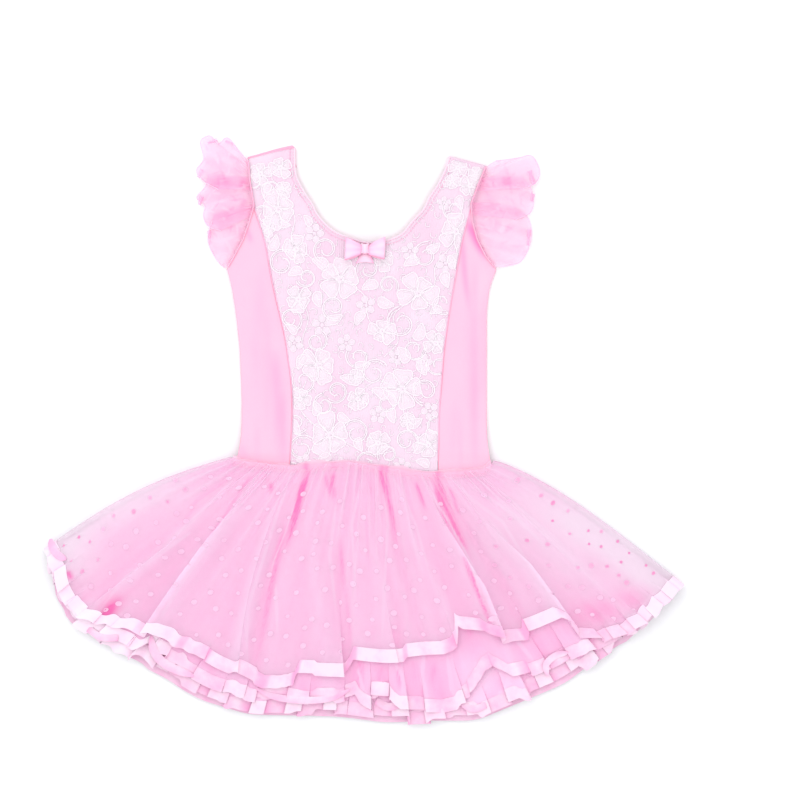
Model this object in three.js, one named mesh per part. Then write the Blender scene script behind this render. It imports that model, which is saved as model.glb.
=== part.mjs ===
// A child's ballet dress, a tutu leotard, lying flat on its back with the skirt fanned out.
// Millimetres. +X runs to the right of the dress as it lies, +Y toward the neck, +Z up from the surface.
import * as THREE from 'three';

// Cloth sizes
const WALL = 1.2;            // thickness of every cloth wall
const SEAM_GAP = 0.3;        // space between pieces that are sewn together
const LACE_WALL = 1.0;
const PETAL_WALL = 1.0;
const SATIN_WALL = 1.0;

// Bodice sizes
const LACE_CLEAR = 0.6;      // lace ends this far above the skirt
const BACK_AT_WAIST = 4.8;   // underside of the back panel where it lies on the back of the skirt
const RAMP_FROM = 10;        // height up the bodice where the back panel starts down to the surface
const RAMP_TO = 44;
const BODY_LOFT = 2.4;       // extra space between front and back, away from the edges
const SIDE_ROLL = 12;        // width over which the front rolls down to the side seam
const WAIST_LIFT = 0.1;      // spare height of the front over the back inside the skirt
const RAMP_LIFT = 1.0;       // and where the panels slope
const SHOULDER_FLAT_FROM = 276;
const SHOULDER_FLAT_TO = 306;

// Skirt sizes
const WAIST_LEFT = -134;
const WAIST_RIGHT = 130;
const LEFT_BULGE = 12;       // how far the skirt's left edge bows out of a straight line
const RIGHT_BULGE = 12;
const LEFT_BULGE_END = 0.16;   // share of the spread over which the left edge's bow fades out
const RIGHT_BULGE_START = 0.8;
const RIGHT_BULGE_SKEW = 0.75; // below 1 moves the right edge's bow toward the waist
const RIBBON_WIDTH = 12.5;
const RIBBON_LIFT = 0.3;     // share of a ribbon's waves already there at its sewn edge
const HEM_JOIN = 0.06;       // share of the spread over which front and back hems part at each end
const FAN_CENTRE = 60;       // height above the waist where the skirt's pleats would meet
const FAN_NARROWING = 0.6;   // share of a point's place across that its pleat leans by
const EDGE_STEP = 0.01;      // small step across, for measuring the skirt's width at its edges
const GATHER_COUNT = 27;
const GATHER_HEIGHT = 1.8;
const GATHER_END = 0.42;     // share of the skirt's length where the gathers fade out
const LAP_SHARE = 0.5;       // width of a lapped fold's steep side, as a share of its soft side
const LOFT_END = 0.3;        // share of the length where the skirt reaches its full height
const DROOP_FROM = 0.55;     // and where it starts to sink to the hem
const BACK_POINTS = 14;
const ROUND_STEPS = [0, 0.134, 0.5, 1];   // points on the rolled side, as shares of its radius

// The waist line that the skirt is gathered onto, from the left end to the right end
const WAIST_LINE = [
  { x: -134, y: 8 }, { x: -122, y: 4 }, { x: -72, y: -1 }, { x: -14, y: 3 }, { x: 6, y: 0 },
  { x: 52, y: -7 }, { x: 76, y: -8 }, { x: 120, y: -4 }, { x: 130, y: 4 },
];

// The outline of the spread hem: across is the share of the way from the left end to the right
const HEM_OUTLINE = [
  { across: 0, x: -321, y: -81 }, { across: 0.058, x: -314, y: -125 }, { across: 0.101, x: -300, y: -155 },
  { across: 0.148, x: -270, y: -175 }, { across: 0.2, x: -235, y: -195 }, { across: 0.244, x: -206, y: -212 },
  { across: 0.306, x: -165, y: -236 }, { across: 0.372, x: -116, y: -251 }, { across: 0.439, x: -64, y: -252 },
  { across: 0.491, x: -24, y: -253 }, { across: 0.549, x: 21, y: -259 }, { across: 0.608, x: 66, y: -257 },
  { across: 0.668, x: 113, y: -257 }, { across: 0.729, x: 156, y: -239 }, { across: 0.793, x: 201, y: -220 },
  { across: 0.857, x: 241, y: -190 }, { across: 0.908, x: 276, y: -171 }, { across: 0.961, x: 304, y: -141 },
  { across: 1, x: 323, y: -118 },
];

// How far down the two upper layers' front hems reach, as shares of the way to the outline
const FRONT_HEMS = [
  { across: 0, overlay: 1, middle: 0.985 }, { across: 0.084, overlay: 0.98, middle: 0.975 },
  { across: 0.146, overlay: 0.93, middle: 0.96 }, { across: 0.204, overlay: 0.87, middle: 0.95 },
  { across: 0.286, overlay: 0.83, middle: 0.94 }, { across: 0.341, overlay: 0.85, middle: 0.94 },
  { across: 0.378, overlay: 0.87, middle: 0.945 }, { across: 0.421, overlay: 0.82, middle: 0.95 },
  { across: 0.485, overlay: 0.82, middle: 0.935 }, { across: 0.52, overlay: 0.75, middle: 0.9 },
  { across: 0.58, overlay: 0.73, middle: 0.93 }, { across: 0.646, overlay: 0.71, middle: 0.95 },
  { across: 0.687, overlay: 0.63, middle: 0.88 }, { across: 0.716, overlay: 0.66, middle: 0.82 },
  { across: 0.766, overlay: 0.79, middle: 0.9 }, { across: 0.801, overlay: 0.75, middle: 0.91 },
  { across: 0.83, overlay: 0.8, middle: 0.92 }, { across: 0.87, overlay: 0.97, middle: 0.965 },
  { across: 0.92, overlay: 0.99, middle: 0.985 }, { across: 1, overlay: 1, middle: 0.985 },
];

// The skirt's largest folds. top, mid and hem say where each crosses the skirt, as shares from the left,
// spread is its half width, and lap names the side that drops away steeply.
const SKIRT_FOLDS = [
  { top: 0.03, mid: 0.045, hem: 0.05, rise: 3, spread: 0.022, lap: 'none', from: 0.3, to: 0.7 },
  { top: 0.1, mid: 0.118, hem: 0.107, rise: 4, spread: 0.02, lap: 'left', from: 0.25, to: 0.5 },
  { top: 0.154, mid: 0.178, hem: 0.204, rise: 8, spread: 0.034, lap: 'left', from: 0.04, to: 0.4 },
  { top: 0.25, mid: 0.3, hem: 0.357, rise: 5, spread: 0.02, lap: 'none', from: 0.02, to: 0.3 },
  { top: 0.3, mid: 0.333, hem: 0.372, rise: -3.4, spread: 0.016, lap: 'none', from: 0.05, to: 0.4 },
  { top: 0.331, mid: 0.43, hem: 0.486, rise: 4.5, spread: 0.024, lap: 'none', from: 0.04, to: 0.35 },
  { top: 0.43, mid: 0.472, hem: 0.516, rise: -3, spread: 0.016, lap: 'none', from: 0.2, to: 0.45 },
  { top: 0.5, mid: 0.56, hem: 0.58, rise: 4, spread: 0.026, lap: 'right', from: 0.1, to: 0.6 },
  { top: 0.567, mid: 0.61, hem: 0.63, rise: -3, spread: 0.014, lap: 'none', from: 0.02, to: 0.3 },
  { top: 0.608, mid: 0.665, hem: 0.68, rise: 4, spread: 0.022, lap: 'none', from: 0.03, to: 0.3 },
  { top: 0.716, mid: 0.75, hem: 0.733, rise: 8, spread: 0.034, lap: 'right', from: 0.03, to: 0.3 },
  { top: 0.765, mid: 0.79, hem: 0.784, rise: -3.4, spread: 0.014, lap: 'none', from: 0.05, to: 0.3 },
  { top: 0.821, mid: 0.853, hem: 0.842, rise: 5.5, spread: 0.024, lap: 'right', from: 0.05, to: 0.4 },
  { top: 0.891, mid: 0.912, hem: 0.93, rise: 4, spread: 0.024, lap: 'none', from: 0.1, to: 0.4 },
  { top: 0.95, mid: 0.965, hem: 0.972, rise: 2.5, spread: 0.016, lap: 'none', from: 0.3, to: 0.7 },
];

// The three skirt layers, each a flattened tube: heights are those of the front's upper face
const LAYERS = [
  {
    name: 'overlay', color: 0xf8c6e2, floor: 0, waistTop: 12.9, bodyTop: 19, droop: 5, foldShare: 1,
    inset: 0, sideRound: 10, backHem: 0.97, frontPoints: 108, rows: [0, 0.1, 0.26, 0.5, 0.76, 1],
    waveCount: 18, waveHeight: 1.8, gathers: GATHER_HEIGHT,
  },
  {
    name: 'middle', color: 0xfdc2de, floor: 1.6, waistTop: 11, bodyTop: 14.2, droop: 3.6, foldShare: 0.72,
    inset: 0.012, sideRound: 8, backHem: 0.985, frontPoints: 78, rows: [0, 0.18, 0.52, 1],
    waveCount: 26, waveHeight: 1.2, gathers: 0,
  },
  {
    name: 'under', color: 0xfcb9da, floor: 3.2, waistTop: 9.3, bodyTop: 9.3, droop: 1.5, foldShare: 0.45,
    inset: 0.024, sideRound: 6, backHem: 1, frontPoints: 78, rows: [0, 0.18, 0.52, 1],
    waveCount: 26, waveHeight: 1.5, gathers: 0,
  },
];

// The two seams between the lace front and the side panels, from inside the skirt up to the shoulder
const FRONT_SEAMS = [
  { leftX: -76, leftY: -9, rightX: 74, rightY: -16 }, { leftX: -76, leftY: 0, rightX: 74, rightY: -7 },
  { leftX: -77, leftY: 12, rightX: 74, rightY: 10 }, { leftX: -77, leftY: 27, rightX: 75, rightY: 26 },
  { leftX: -77, leftY: 46, rightX: 75, rightY: 46 }, { leftX: -78, leftY: 75, rightX: 77, rightY: 75 },
  { leftX: -81, leftY: 115, rightX: 80, rightY: 115 }, { leftX: -85, leftY: 150, rightX: 85, rightY: 150 },
  { leftX: -91, leftY: 185, rightX: 91, rightY: 185 }, { leftX: -99, leftY: 222, rightX: 98, rightY: 224 },
  { leftX: -111, leftY: 260, rightX: 108, rightY: 262 }, { leftX: -115, leftY: 284, rightX: 115, rightY: 281 },
  { leftX: -117, leftY: 307, rightX: 123, rightY: 300 },
];
const ARMHOLE_STATION = 10;  // row of the seam table where the armholes meet the seams

// The upper edge of the front: the left shoulder, the neckline, then the right shoulder
const FRONT_TOP = [
  { x: -117, y: 307 }, { x: -101, y: 311 }, { x: -85, y: 315 }, { x: -69, y: 318 }, { x: -68, y: 293 },
  { x: -60, y: 275 }, { x: -52, y: 263 }, { x: -46, y: 251 }, { x: -35, y: 239 }, { x: -26, y: 233 },
  { x: -9, y: 227 }, { x: 3, y: 224 }, { x: 14, y: 225 }, { x: 26, y: 227 }, { x: 38, y: 233 },
  { x: 48, y: 245 }, { x: 59, y: 257 }, { x: 65, y: 269 }, { x: 73, y: 281 }, { x: 80, y: 295 },
  { x: 85, y: 310 }, { x: 104, y: 305 }, { x: 123, y: 300 },
];
const BACK_NECK_DROP = 4;    // the back neckline lies this far below the front's
const LEFT_BACK_STRAP_EXTRA = 4;   // back strap that shows past the left shoulder seam

// The side edges of the dress from inside the skirt to the underarm, then the armholes to the shoulder
const SIDE_EDGES = [
  { leftX: -122, leftY: -5, rightX: 120, rightY: -12 }, { leftX: -123, leftY: 10, rightX: 123, rightY: 10 },
  { leftX: -124, leftY: 27, rightX: 124, rightY: 27 }, { leftX: -124, leftY: 44, rightX: 123, rightY: 44 },
  { leftX: -123, leftY: 70, rightX: 123, rightY: 70 }, { leftX: -125, leftY: 117, rightX: 123, rightY: 117 },
  { leftX: -129, leftY: 153, rightX: 123, rightY: 153 }, { leftX: -133, leftY: 179, rightX: 126, rightY: 179 },
  { leftX: -138, leftY: 197, rightX: 133, rightY: 196 },
];
const ARMHOLES = [
  { leftX: -138, leftY: 197, rightX: 133, rightY: 196 }, { leftX: -130, leftY: 211, rightX: 122, rightY: 210 },
  { leftX: -122, leftY: 226, rightX: 114, rightY: 226 }, { leftX: -116, leftY: 243, rightX: 109, rightY: 244 },
  { leftX: -111, leftY: 260, rightX: 108, rightY: 262 },
];

// Soft upright folds of the side panels
const BODICE_FOLDS = [
  { x: -86, from: -20, to: 95, rise: 1.3, spread: 5 }, { x: -104, from: 20, to: 170, rise: 0.9, spread: 6 },
  { x: -113, from: -20, to: 60, rise: 0.9, spread: 5 }, { x: 104, from: -20, to: 215, rise: 1.3, spread: 6 },
  { x: 92, from: -20, to: 60, rise: 1, spread: 4 }, { x: 114, from: 60, to: 190, rise: 0.8, spread: 5 },
];
const FOLD_FADE = 40;        // length over which such a fold fades at its ends

// The flutter sleeves' petals: each is sewn to the armhole between two heights, and edge is its free outline
const PETALS = [
  {
    name: 'sleeve_left_upper', tip: 5, waves: 4,
    side: 'left', rootFrom: 305, rootTo: 283,
    edge: [{ x: -128, y: 316 }, { x: -133, y: 325 }, { x: -139, y: 328 }, { x: -146, y: 322 },
      { x: -155, y: 330 }, { x: -164, y: 324 }, { x: -161, y: 307 }, { x: -168, y: 294 }, { x: -158, y: 286 }],
  },
  {
    name: 'sleeve_left_middle', tip: 3.5, waves: 3,
    side: 'left', rootFrom: 281, rootTo: 259,
    edge: [{ x: -158, y: 284.5 }, { x: -160, y: 275 }, { x: -168, y: 267 }, { x: -160, y: 260 },
      { x: -160, y: 250 }, { x: -159, y: 240 }, { x: -149, y: 237 }],
  },
  {
    name: 'sleeve_left_lower', tip: 2, waves: 3,
    side: 'left', rootFrom: 257, rootTo: 198,
    edge: [{ x: -149, y: 235.5 }, { x: -156, y: 231 }, { x: -156, y: 222 }, { x: -152, y: 212 },
      { x: -146, y: 203 }, { x: -140.5, y: 198 }],
  },
  {
    name: 'sleeve_right_upper', tip: 5, waves: 4,
    side: 'right', rootFrom: 298, rootTo: 283,
    edge: [{ x: 132, y: 305 }, { x: 144, y: 306 }, { x: 156, y: 308 }, { x: 167, y: 309 }, { x: 173, y: 302 },
      { x: 176, y: 290 }, { x: 171, y: 284 }, { x: 163, y: 281 }],
  },
  {
    name: 'sleeve_right_middle', tip: 3.5, waves: 3,
    side: 'right', rootFrom: 281, rootTo: 261,
    edge: [{ x: 163, y: 279.5 }, { x: 168, y: 269 }, { x: 169, y: 262 }, { x: 165, y: 255 },
      { x: 158, y: 250 }],
  },
  {
    name: 'sleeve_right_lower', tip: 2, waves: 4,
    side: 'right', rootFrom: 259, rootTo: 198,
    edge: [{ x: 158, y: 248.5 }, { x: 165, y: 245 }, { x: 168, y: 236 }, { x: 167, y: 224 }, { x: 163, y: 212 },
      { x: 156, y: 203 }, { x: 146, y: 200 }, { x: 138, y: 198.6 }],
  },
];
const PETAL_ROWS = [0, 0.25, 0.6, 1];
const PETAL_COLUMNS = 14;
const PETAL_RUFFLE = 1.2;    // height of the ruffles at a petal's free edge
const PETAL_ARCH = 1.6;      // how far a petal arches between its root and its edge
const ROOT_GAP = 0.4;        // space between a petal's root and the armhole, measured across

// Bow sizes
const BOW = {
  x: 1, y: 214, base: 6.9, knotWidth: 8, knotLength: 12, knotHeight: 7,
  loopLength: 18, loopEnd: 22, loopRoot: 9, loopHeight: 6.5, loopPoints: 14, loopPinch: 0.7, loopMiddle: 2.8,
  tailWidth: 17, tailDrop: 10, tailStart: 3, tailNotch: 1, tailWall: 0.7,
};

const PINK = { side: 0xfed3ee, back: 0xfccbe6, front: 0xf9d6ec, lace: 0xf6e8f6, petal: 0xfdcbe8 };
const SATIN = 0xfdd3ea;

function mix(a, b, share) {
  return a + (b - a) * share;
}

function smooth(from, to, value) {
  const t = Math.min(1, Math.max(0, (value - from) / (to - from)));
  return t * t * (3 - 2 * t);
}

// Reads a table's column at a value of its key column, straight between rows
function lookUp(rows, key, column, value) {
  let low = rows[0];
  for (const row of rows) {
    if (row[key] >= value) {
      const step = row[key] - low[key];
      return step > 0 ? mix(low[column], row[column], (value - low[key]) / step) : row[column];
    }
    low = row;
  }
  return low[column];
}

// A rounded rise from 0 to 1 over the first share of a width
function roll(distance, radius) {
  const t = 1 - Math.min(1, Math.max(0, distance / radius));
  return Math.sqrt(1 - t * t);
}

// Builds a closed mesh from a list of points and a list of four-sided faces, and turns it to face out
function solid(name, points, quads, color, roughness = 0.8) {
  const index = [];
  for (const [a, b, c, d] of quads) index.push(a, b, c, a, c, d);
  let volume = 0;
  for (let i = 0; i < index.length; i += 3) {
    const [a, b, c] = [points[index[i]], points[index[i + 1]], points[index[i + 2]]];
    volume += a.dot(b.clone().cross(c));
  }
  if (volume < 0) index.reverse();
  const geometry = new THREE.BufferGeometry();
  geometry.setAttribute('position', new THREE.Float32BufferAttribute(points.flatMap((p) => p.toArray()), 3));
  geometry.setIndex(index);
  geometry.computeVertexNormals();
  const mesh = new THREE.Mesh(geometry, new THREE.MeshStandardMaterial({ color, roughness, metalness: 0 }));
  mesh.name = name;
  return mesh;
}

// A tube wall between two stacks of rings, open at both ends of the stack
function tubeWall(name, outer, inner, color, roughness) {
  const rows = outer.length;
  const count = outer[0].length;
  const points = [...outer.flat(), ...inner.flat()];
  const start = rows * count;
  const quads = [];
  for (let k = 0; k < count; k += 1) {
    const next = (k + 1) % count;
    for (let r = 0; r < rows - 1; r += 1) {
      const [a, b, c, d] = [r * count + k, r * count + next, (r + 1) * count + next, (r + 1) * count + k];
      quads.push([a, b, c, d], [start + a, start + d, start + c, start + b]);
    }
    const end = (rows - 1) * count;
    quads.push([next, k, start + k, start + next]);
    quads.push([end + k, end + next, start + end + next, start + end + k]);
  }
  return solid(name, points, quads, color, roughness);
}

// A sheet wall between an upper and a lower grid of points, closed round its edge
function sheetWall(name, upper, lower, color, roughness) {
  const rows = upper.length;
  const columns = upper[0].length;
  const points = [...upper.flat(), ...lower.flat()];
  const start = rows * columns;
  const quads = [];
  for (let r = 0; r < rows - 1; r += 1) {
    for (let c = 0; c < columns - 1; c += 1) {
      const a = r * columns + c;
      const e = a + columns;
      quads.push([a, a + 1, e + 1, e], [start + a, start + e, start + e + 1, start + a + 1]);
    }
  }
  const border = [];
  for (let c = 0; c < columns - 1; c += 1) border.push(c);
  for (let r = 0; r < rows - 1; r += 1) border.push(r * columns + columns - 1);
  for (let c = columns - 1; c > 0; c -= 1) border.push((rows - 1) * columns + c);
  for (let r = rows - 1; r > 0; r -= 1) border.push(r * columns);
  border.forEach((from, i) => {
    const to = border[(i + 1) % border.length];
    quads.push([to, from, start + from, start + to]);
  });
  return solid(name, points, quads, color, roughness);
}

// Skirt: a point of the fan, with across running from the left end to the right and down from waist to outline
function waistPoint(across) {
  const x = mix(WAIST_LEFT, WAIST_RIGHT, across);
  return new THREE.Vector2(x, lookUp(WAIST_LINE, 'x', 'y', x));
}

function outlinePoint(across) {
  const x = lookUp(HEM_OUTLINE, 'across', 'x', across);
  return new THREE.Vector2(x, lookUp(HEM_OUTLINE, 'across', 'y', across));
}

function fanPoint(across, down) {
  const point = waistPoint(across).lerp(outlinePoint(across), down);
  const leftEdge = Math.max(0, 1 - across / LEFT_BULGE_END) ** 2;
  const rightEdge = Math.max(0, (across - RIGHT_BULGE_START) / (1 - RIGHT_BULGE_START)) ** 2;
  const along = Math.min(1, down);
  point.y += LEFT_BULGE * leftEdge * Math.sin(Math.PI * along);
  point.y += RIGHT_BULGE * rightEdge * Math.sin(Math.PI * along ** RIGHT_BULGE_SKEW);
  return point;
}

function fanLength(across) {
  return waistPoint(across).distanceTo(outlinePoint(across));
}

function foldHeight(across, down) {
  let height = 0;
  for (const fold of SKIRT_FOLDS) {
    const centre = down < 0.5 ? mix(fold.top, fold.mid, 2 * down) : mix(fold.mid, fold.hem, 2 * down - 1);
    const side = across < centre ? 'left' : 'right';
    const spread = fold.lap === side ? fold.spread * LAP_SHARE : fold.spread;
    const reach = (across - centre) / spread;
    height += fold.rise * Math.exp(-reach * reach) * smooth(fold.from, fold.to, down);
  }
  return height;
}

function gatherHeight(across, down, layer) {
  const wave = 0.5 + 0.5 * Math.cos(2 * Math.PI * GATHER_COUNT * across);
  return layer.gathers * wave * (1 - smooth(0.05, GATHER_END, down));
}

function frontTop(across, down, layer) {
  const loft = (layer.bodyTop - layer.waistTop) * smooth(0, LOFT_END, down);
  const droop = layer.droop * smooth(DROOP_FROM, 1, down);
  const folds = layer.foldShare * foldHeight(across, down);
  return layer.waistTop + loft - droop + folds + gatherHeight(across, down, layer);
}

function frontHem(across, layer) {
  return layer.name === 'under' ? 1 : lookUp(FRONT_HEMS, 'across', layer.name, across);
}

// One ring round the flattened tube: over the front from left to right, then back underneath
function skirtRing(layer, downAt, waveShare = 0) {
  const ends = [layer.inset, 1 - layer.inset];
  const reach = (end, inward) => {
    const down = downAt(end, 'front');
    const span = fanPoint(end, down).distanceTo(fanPoint(end + inward * EDGE_STEP, down));
    return (inward * EDGE_STEP * layer.sideRound) / span;
  };
  const [leftStep, rightStep] = [reach(ends[0], 1), reach(ends[1], -1)];
  const left = ROUND_STEPS.map((share) => ends[0] + share * leftStep);
  const right = ROUND_STEPS.map((share) => ends[1] + share * rightStep).reverse();
  const spread = (count) => Array.from(
    { length: count - 1 },
    (_, i) => mix(left.at(-1), right[0], (i + 1) / count),
  );
  const place = (across, side) => {
    const down = downAt(across, side);
    const point = fanPoint(across, down);
    const edge = across < 0.5 ? ends[0] : ends[1];
    const rise = roll(point.distanceTo(fanPoint(edge, down)), layer.sideRound);
    const top = frontTop(across, down, layer);
    const middle = (layer.floor + layer.waistTop) / 2;
    if (side === 'back') return new THREE.Vector3(point.x, point.y, mix(middle, layer.floor, rise));
    const turn = (across - left.at(-1)) / (right[0] - left.at(-1));
    const wave = layer.waveHeight * (0.5 - 0.5 * Math.cos(2 * Math.PI * layer.waveCount * turn));
    const ruffle = rise === 1 ? waveShare * wave : 0;
    return new THREE.Vector3(point.x, point.y, mix(middle, top, rise) + ruffle);
  };
  const frontPlaces = [...left, ...spread(layer.frontPoints), ...right];
  const backPlaces = [...left.slice(1), ...spread(BACK_POINTS), ...right.slice(0, -1)].reverse();
  const ring = [
    ...frontPlaces.map((across) => place(across, 'front')),
    ...backPlaces.map((across) => place(across, 'back')),
  ];
  const rays = ring.map((p) => new THREE.Vector3(p.x * FAN_NARROWING, p.y - FAN_CENTRE, 0).normalize());
  const inner = ring.map((point, i) => {
    const along = ring[(i + 1) % ring.length].clone().sub(ring[(i + ring.length - 1) % ring.length]);
    const normal = along.cross(rays[i]).normalize();
    return point.clone().addScaledVector(normal, WALL);
  });
  return { outer: ring, inner };
}

function skirtTube(layer) {
  const tulleEnd = (across, side) => {
    const front = frontHem(across, layer);
    const hem = side === 'back' ? mix(front, layer.backHem, backShare(across, layer)) : front;
    return hem - (RIBBON_WIDTH + SEAM_GAP) / fanLength(across);
  };
  const rings = layer.rows.map((row) => skirtRing(layer, (across, side) => row * tulleEnd(across, side)));
  const ribbonRings = [SEAM_GAP, SEAM_GAP + RIBBON_WIDTH].map((offset, i) => skirtRing(
    layer,
    (across, side) => tulleEnd(across, side) + offset / fanLength(across),
    i === 0 ? RIBBON_LIFT : 1,
  ));
  return [
    tubeWall(`skirt_${layer.name}`, rings.map((r) => r.outer), rings.map((r) => r.inner), layer.color, 0.9),
    tubeWall(`ribbon_${layer.name}`, ribbonRings.map((r) => r.outer), ribbonRings.map((r) => r.inner), SATIN, 0.35),
  ];
}

// The back hem meets the front hem at both ends and follows its own line between them
function backShare(across, layer) {
  return smooth(0, HEM_JOIN, Math.min(across - layer.inset, 1 - layer.inset - across));
}

// Bodice heights
function backUnderside(y) {
  return BACK_AT_WAIST * Math.min(1, Math.max(0, (RAMP_TO - y) / (RAMP_TO - RAMP_FROM)));
}

function sideDistance(x, y) {
  const left = lookUp(SIDE_EDGES, 'leftY', 'leftX', y);
  const right = lookUp(SIDE_EDGES, 'rightY', 'rightX', y);
  return Math.min(x - left, right - x);
}

function frontUnderside(x, y) {
  const loft = BODY_LOFT * smooth(RAMP_FROM, RAMP_TO, y) * (1 - smooth(SHOULDER_FLAT_FROM, SHOULDER_FLAT_TO, y));
  const lift = WAIST_LIFT + RAMP_LIFT * smooth(6, 14, y) * (1 - smooth(RAMP_TO, RAMP_TO + 20, y));
  let folds = 0;
  for (const fold of BODICE_FOLDS) {
    const reach = (x - fold.x) / fold.spread;
    const ends = smooth(fold.from, fold.from + FOLD_FADE, y) * (1 - smooth(fold.to - FOLD_FADE, fold.to, y));
    folds += fold.rise * Math.exp(-reach * reach) * ends * smooth(6, 30, y);
  }
  const away = roll(sideDistance(x, y), SIDE_ROLL);
  return backUnderside(y) + WALL + SEAM_GAP + lift + (loft + folds) * away;
}

// A panel's grid: columns run from the bottom edge to the points of the top edge, between two side lines
function panelGrid({ leftAt, rightAt, top, bottomAt, leftStations, rightStations, widthShare = 0.5 }) {
  const count = top.length;
  const shares = top.map((p, k) => {
    if (k === 0) return 0;
    if (k === count - 1) return 1;
    return (p.x - leftAt(p.y)) / (rightAt(p.y) - leftAt(p.y));
  });
  return leftStations.map((leftStation, row) => top.map((p, k) => {
    const station = mix(leftStation, rightStations[row], shares[k]);
    const share = mix(mix(k / (count - 1), shares[k], widthShare), shares[k], station * station);
    const bottom = bottomAt(mix(leftAt(0), rightAt(0), share));
    const y = mix(bottom, p.y, station);
    return new THREE.Vector2(mix(leftAt(y), rightAt(y), share), y);
  }));
}

function stationsOf(rows, column, from, to) {
  return rows.map((row) => (row[column] - from) / (to - from));
}

function raise(grid, undersideAt, thickness) {
  const lower = grid.map((row) => row.map((p) => new THREE.Vector3(p.x, p.y, undersideAt(p.x, p.y))));
  const upper = lower.map((row) => row.map((p) => p.clone().setZ(p.z + thickness)));
  return { upper, lower };
}

const seamLeft = (y) => lookUp(FRONT_SEAMS, 'leftY', 'leftX', y);
const seamRight = (y) => lookUp(FRONT_SEAMS, 'rightY', 'rightX', y);
const tuckLine = (from, to) => (x) => mix(from.y, to.y, (x - from.x) / (to.x - from.x));

function frontPanels() {
  const first = FRONT_SEAMS[0];
  const last = FRONT_SEAMS.at(-1);
  const grid = panelGrid({
    leftAt: (y) => seamLeft(y) + SEAM_GAP / 2,
    rightAt: (y) => seamRight(y) - SEAM_GAP / 2,
    top: FRONT_TOP,
    bottomAt: tuckLine({ x: first.leftX, y: first.leftY }, { x: first.rightX, y: first.rightY }),
    leftStations: stationsOf(FRONT_SEAMS, 'leftY', first.leftY, last.leftY),
    rightStations: stationsOf(FRONT_SEAMS, 'rightY', first.rightY, last.rightY),
  });
  const panel = raise(grid, frontUnderside, WALL);
  const laceGrid = grid.slice(1).map((row, r) => row.map((p) => {
    const clear = lookUp(WAIST_LINE, 'x', 'y', p.x) + LACE_CLEAR;
    return r === 0 ? new THREE.Vector2(p.x, Math.max(p.y, clear)) : p;
  }));
  const lace = raise(laceGrid, (x, y) => frontUnderside(x, y) + WALL + SEAM_GAP, LACE_WALL);
  return [
    sheetWall('bodice_front', panel.upper, panel.lower, PINK.front),
    sheetWall('bodice_lace', lace.upper, lace.lower, PINK.lace),
  ];
}

function sidePanel(side) {
  const sign = side === 'left' ? -1 : 1;
  const [xKey, yKey] = [`${side}X`, `${side}Y`];
  const outline = (y) => lookUp(SIDE_EDGES, yKey, xKey, y);
  const seam = (y) => lookUp(FRONT_SEAMS, yKey, xKey, y) + sign * SEAM_GAP / 2;
  const armhole = ARMHOLES.map((row) => ({ x: row[xKey], y: row[yKey] }));
  armhole[armhole.length - 1].x += sign * SEAM_GAP / 2;
  const seamRows = FRONT_SEAMS.slice(0, ARMHOLE_STATION + 1);
  const stations = stationsOf(seamRows, yKey, seamRows[0][yKey], seamRows.at(-1)[yKey]);
  const bottom = tuckLine(
    { x: SIDE_EDGES[0][xKey], y: SIDE_EDGES[0][yKey] },
    { x: FRONT_SEAMS[0][xKey], y: FRONT_SEAMS[0][yKey] },
  );
  const grid = panelGrid({
    leftAt: side === 'left' ? outline : seam,
    rightAt: side === 'left' ? seam : outline,
    top: side === 'left' ? armhole : armhole.reverse(),
    bottomAt: bottom,
    leftStations: stations,
    rightStations: stations,
    widthShare: 0,
  });
  const panel = raise(grid, frontUnderside, WALL);
  return sheetWall(`bodice_side_${side}`, panel.upper, panel.lower, PINK.side);
}

// The whole edge of one side, from the waist by the underarm to the shoulder
function edgeLine(side) {
  return [...SIDE_EDGES, ...ARMHOLES.slice(1), ...FRONT_SEAMS.slice(ARMHOLE_STATION + 1)]
    .map((row) => ({ x: row[`${side}X`], y: row[`${side}Y`] }));
}

function backPanel() {
  const [left, right] = [edgeLine('left'), edgeLine('right')];
  const top = FRONT_TOP.filter((p, k) => k < 4 || k > 19 || k % 2 === 0).map((p) => {
    const strap = p.y > 296 ? 0 : BACK_NECK_DROP;
    const extra = p.x < -60 ? LEFT_BACK_STRAP_EXTRA * smooth(-117, -90, p.x) * smooth(300, 306, p.y) : 0;
    return { x: p.x, y: p.y - strap + extra };
  });
  const stations = left.map((row) => (row.y - left[0].y) / (left.at(-1).y - left[0].y));
  const rightStations = right.map((row) => (row.y - right[0].y) / (right.at(-1).y - right[0].y));
  const grid = panelGrid({
    leftAt: (y) => lookUp(left, 'y', 'x', y),
    rightAt: (y) => lookUp(right, 'y', 'x', y),
    top,
    bottomAt: tuckLine(left[0], right[0]),
    leftStations: stations,
    rightStations,
  });
  const panel = raise(grid, (x, y) => backUnderside(y), WALL);
  return sheetWall('bodice_back', panel.upper, panel.lower, PINK.back);
}

// Sleeve petals: each fans out from the armhole, arches a little and ruffles at its free edge
function polylinePoint(points, share) {
  const place = share * (points.length - 1);
  const k = Math.min(points.length - 2, Math.floor(place));
  const x = mix(points[k].x, points[k + 1].x, place - k);
  return new THREE.Vector2(x, mix(points[k].y, points[k + 1].y, place - k));
}

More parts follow.
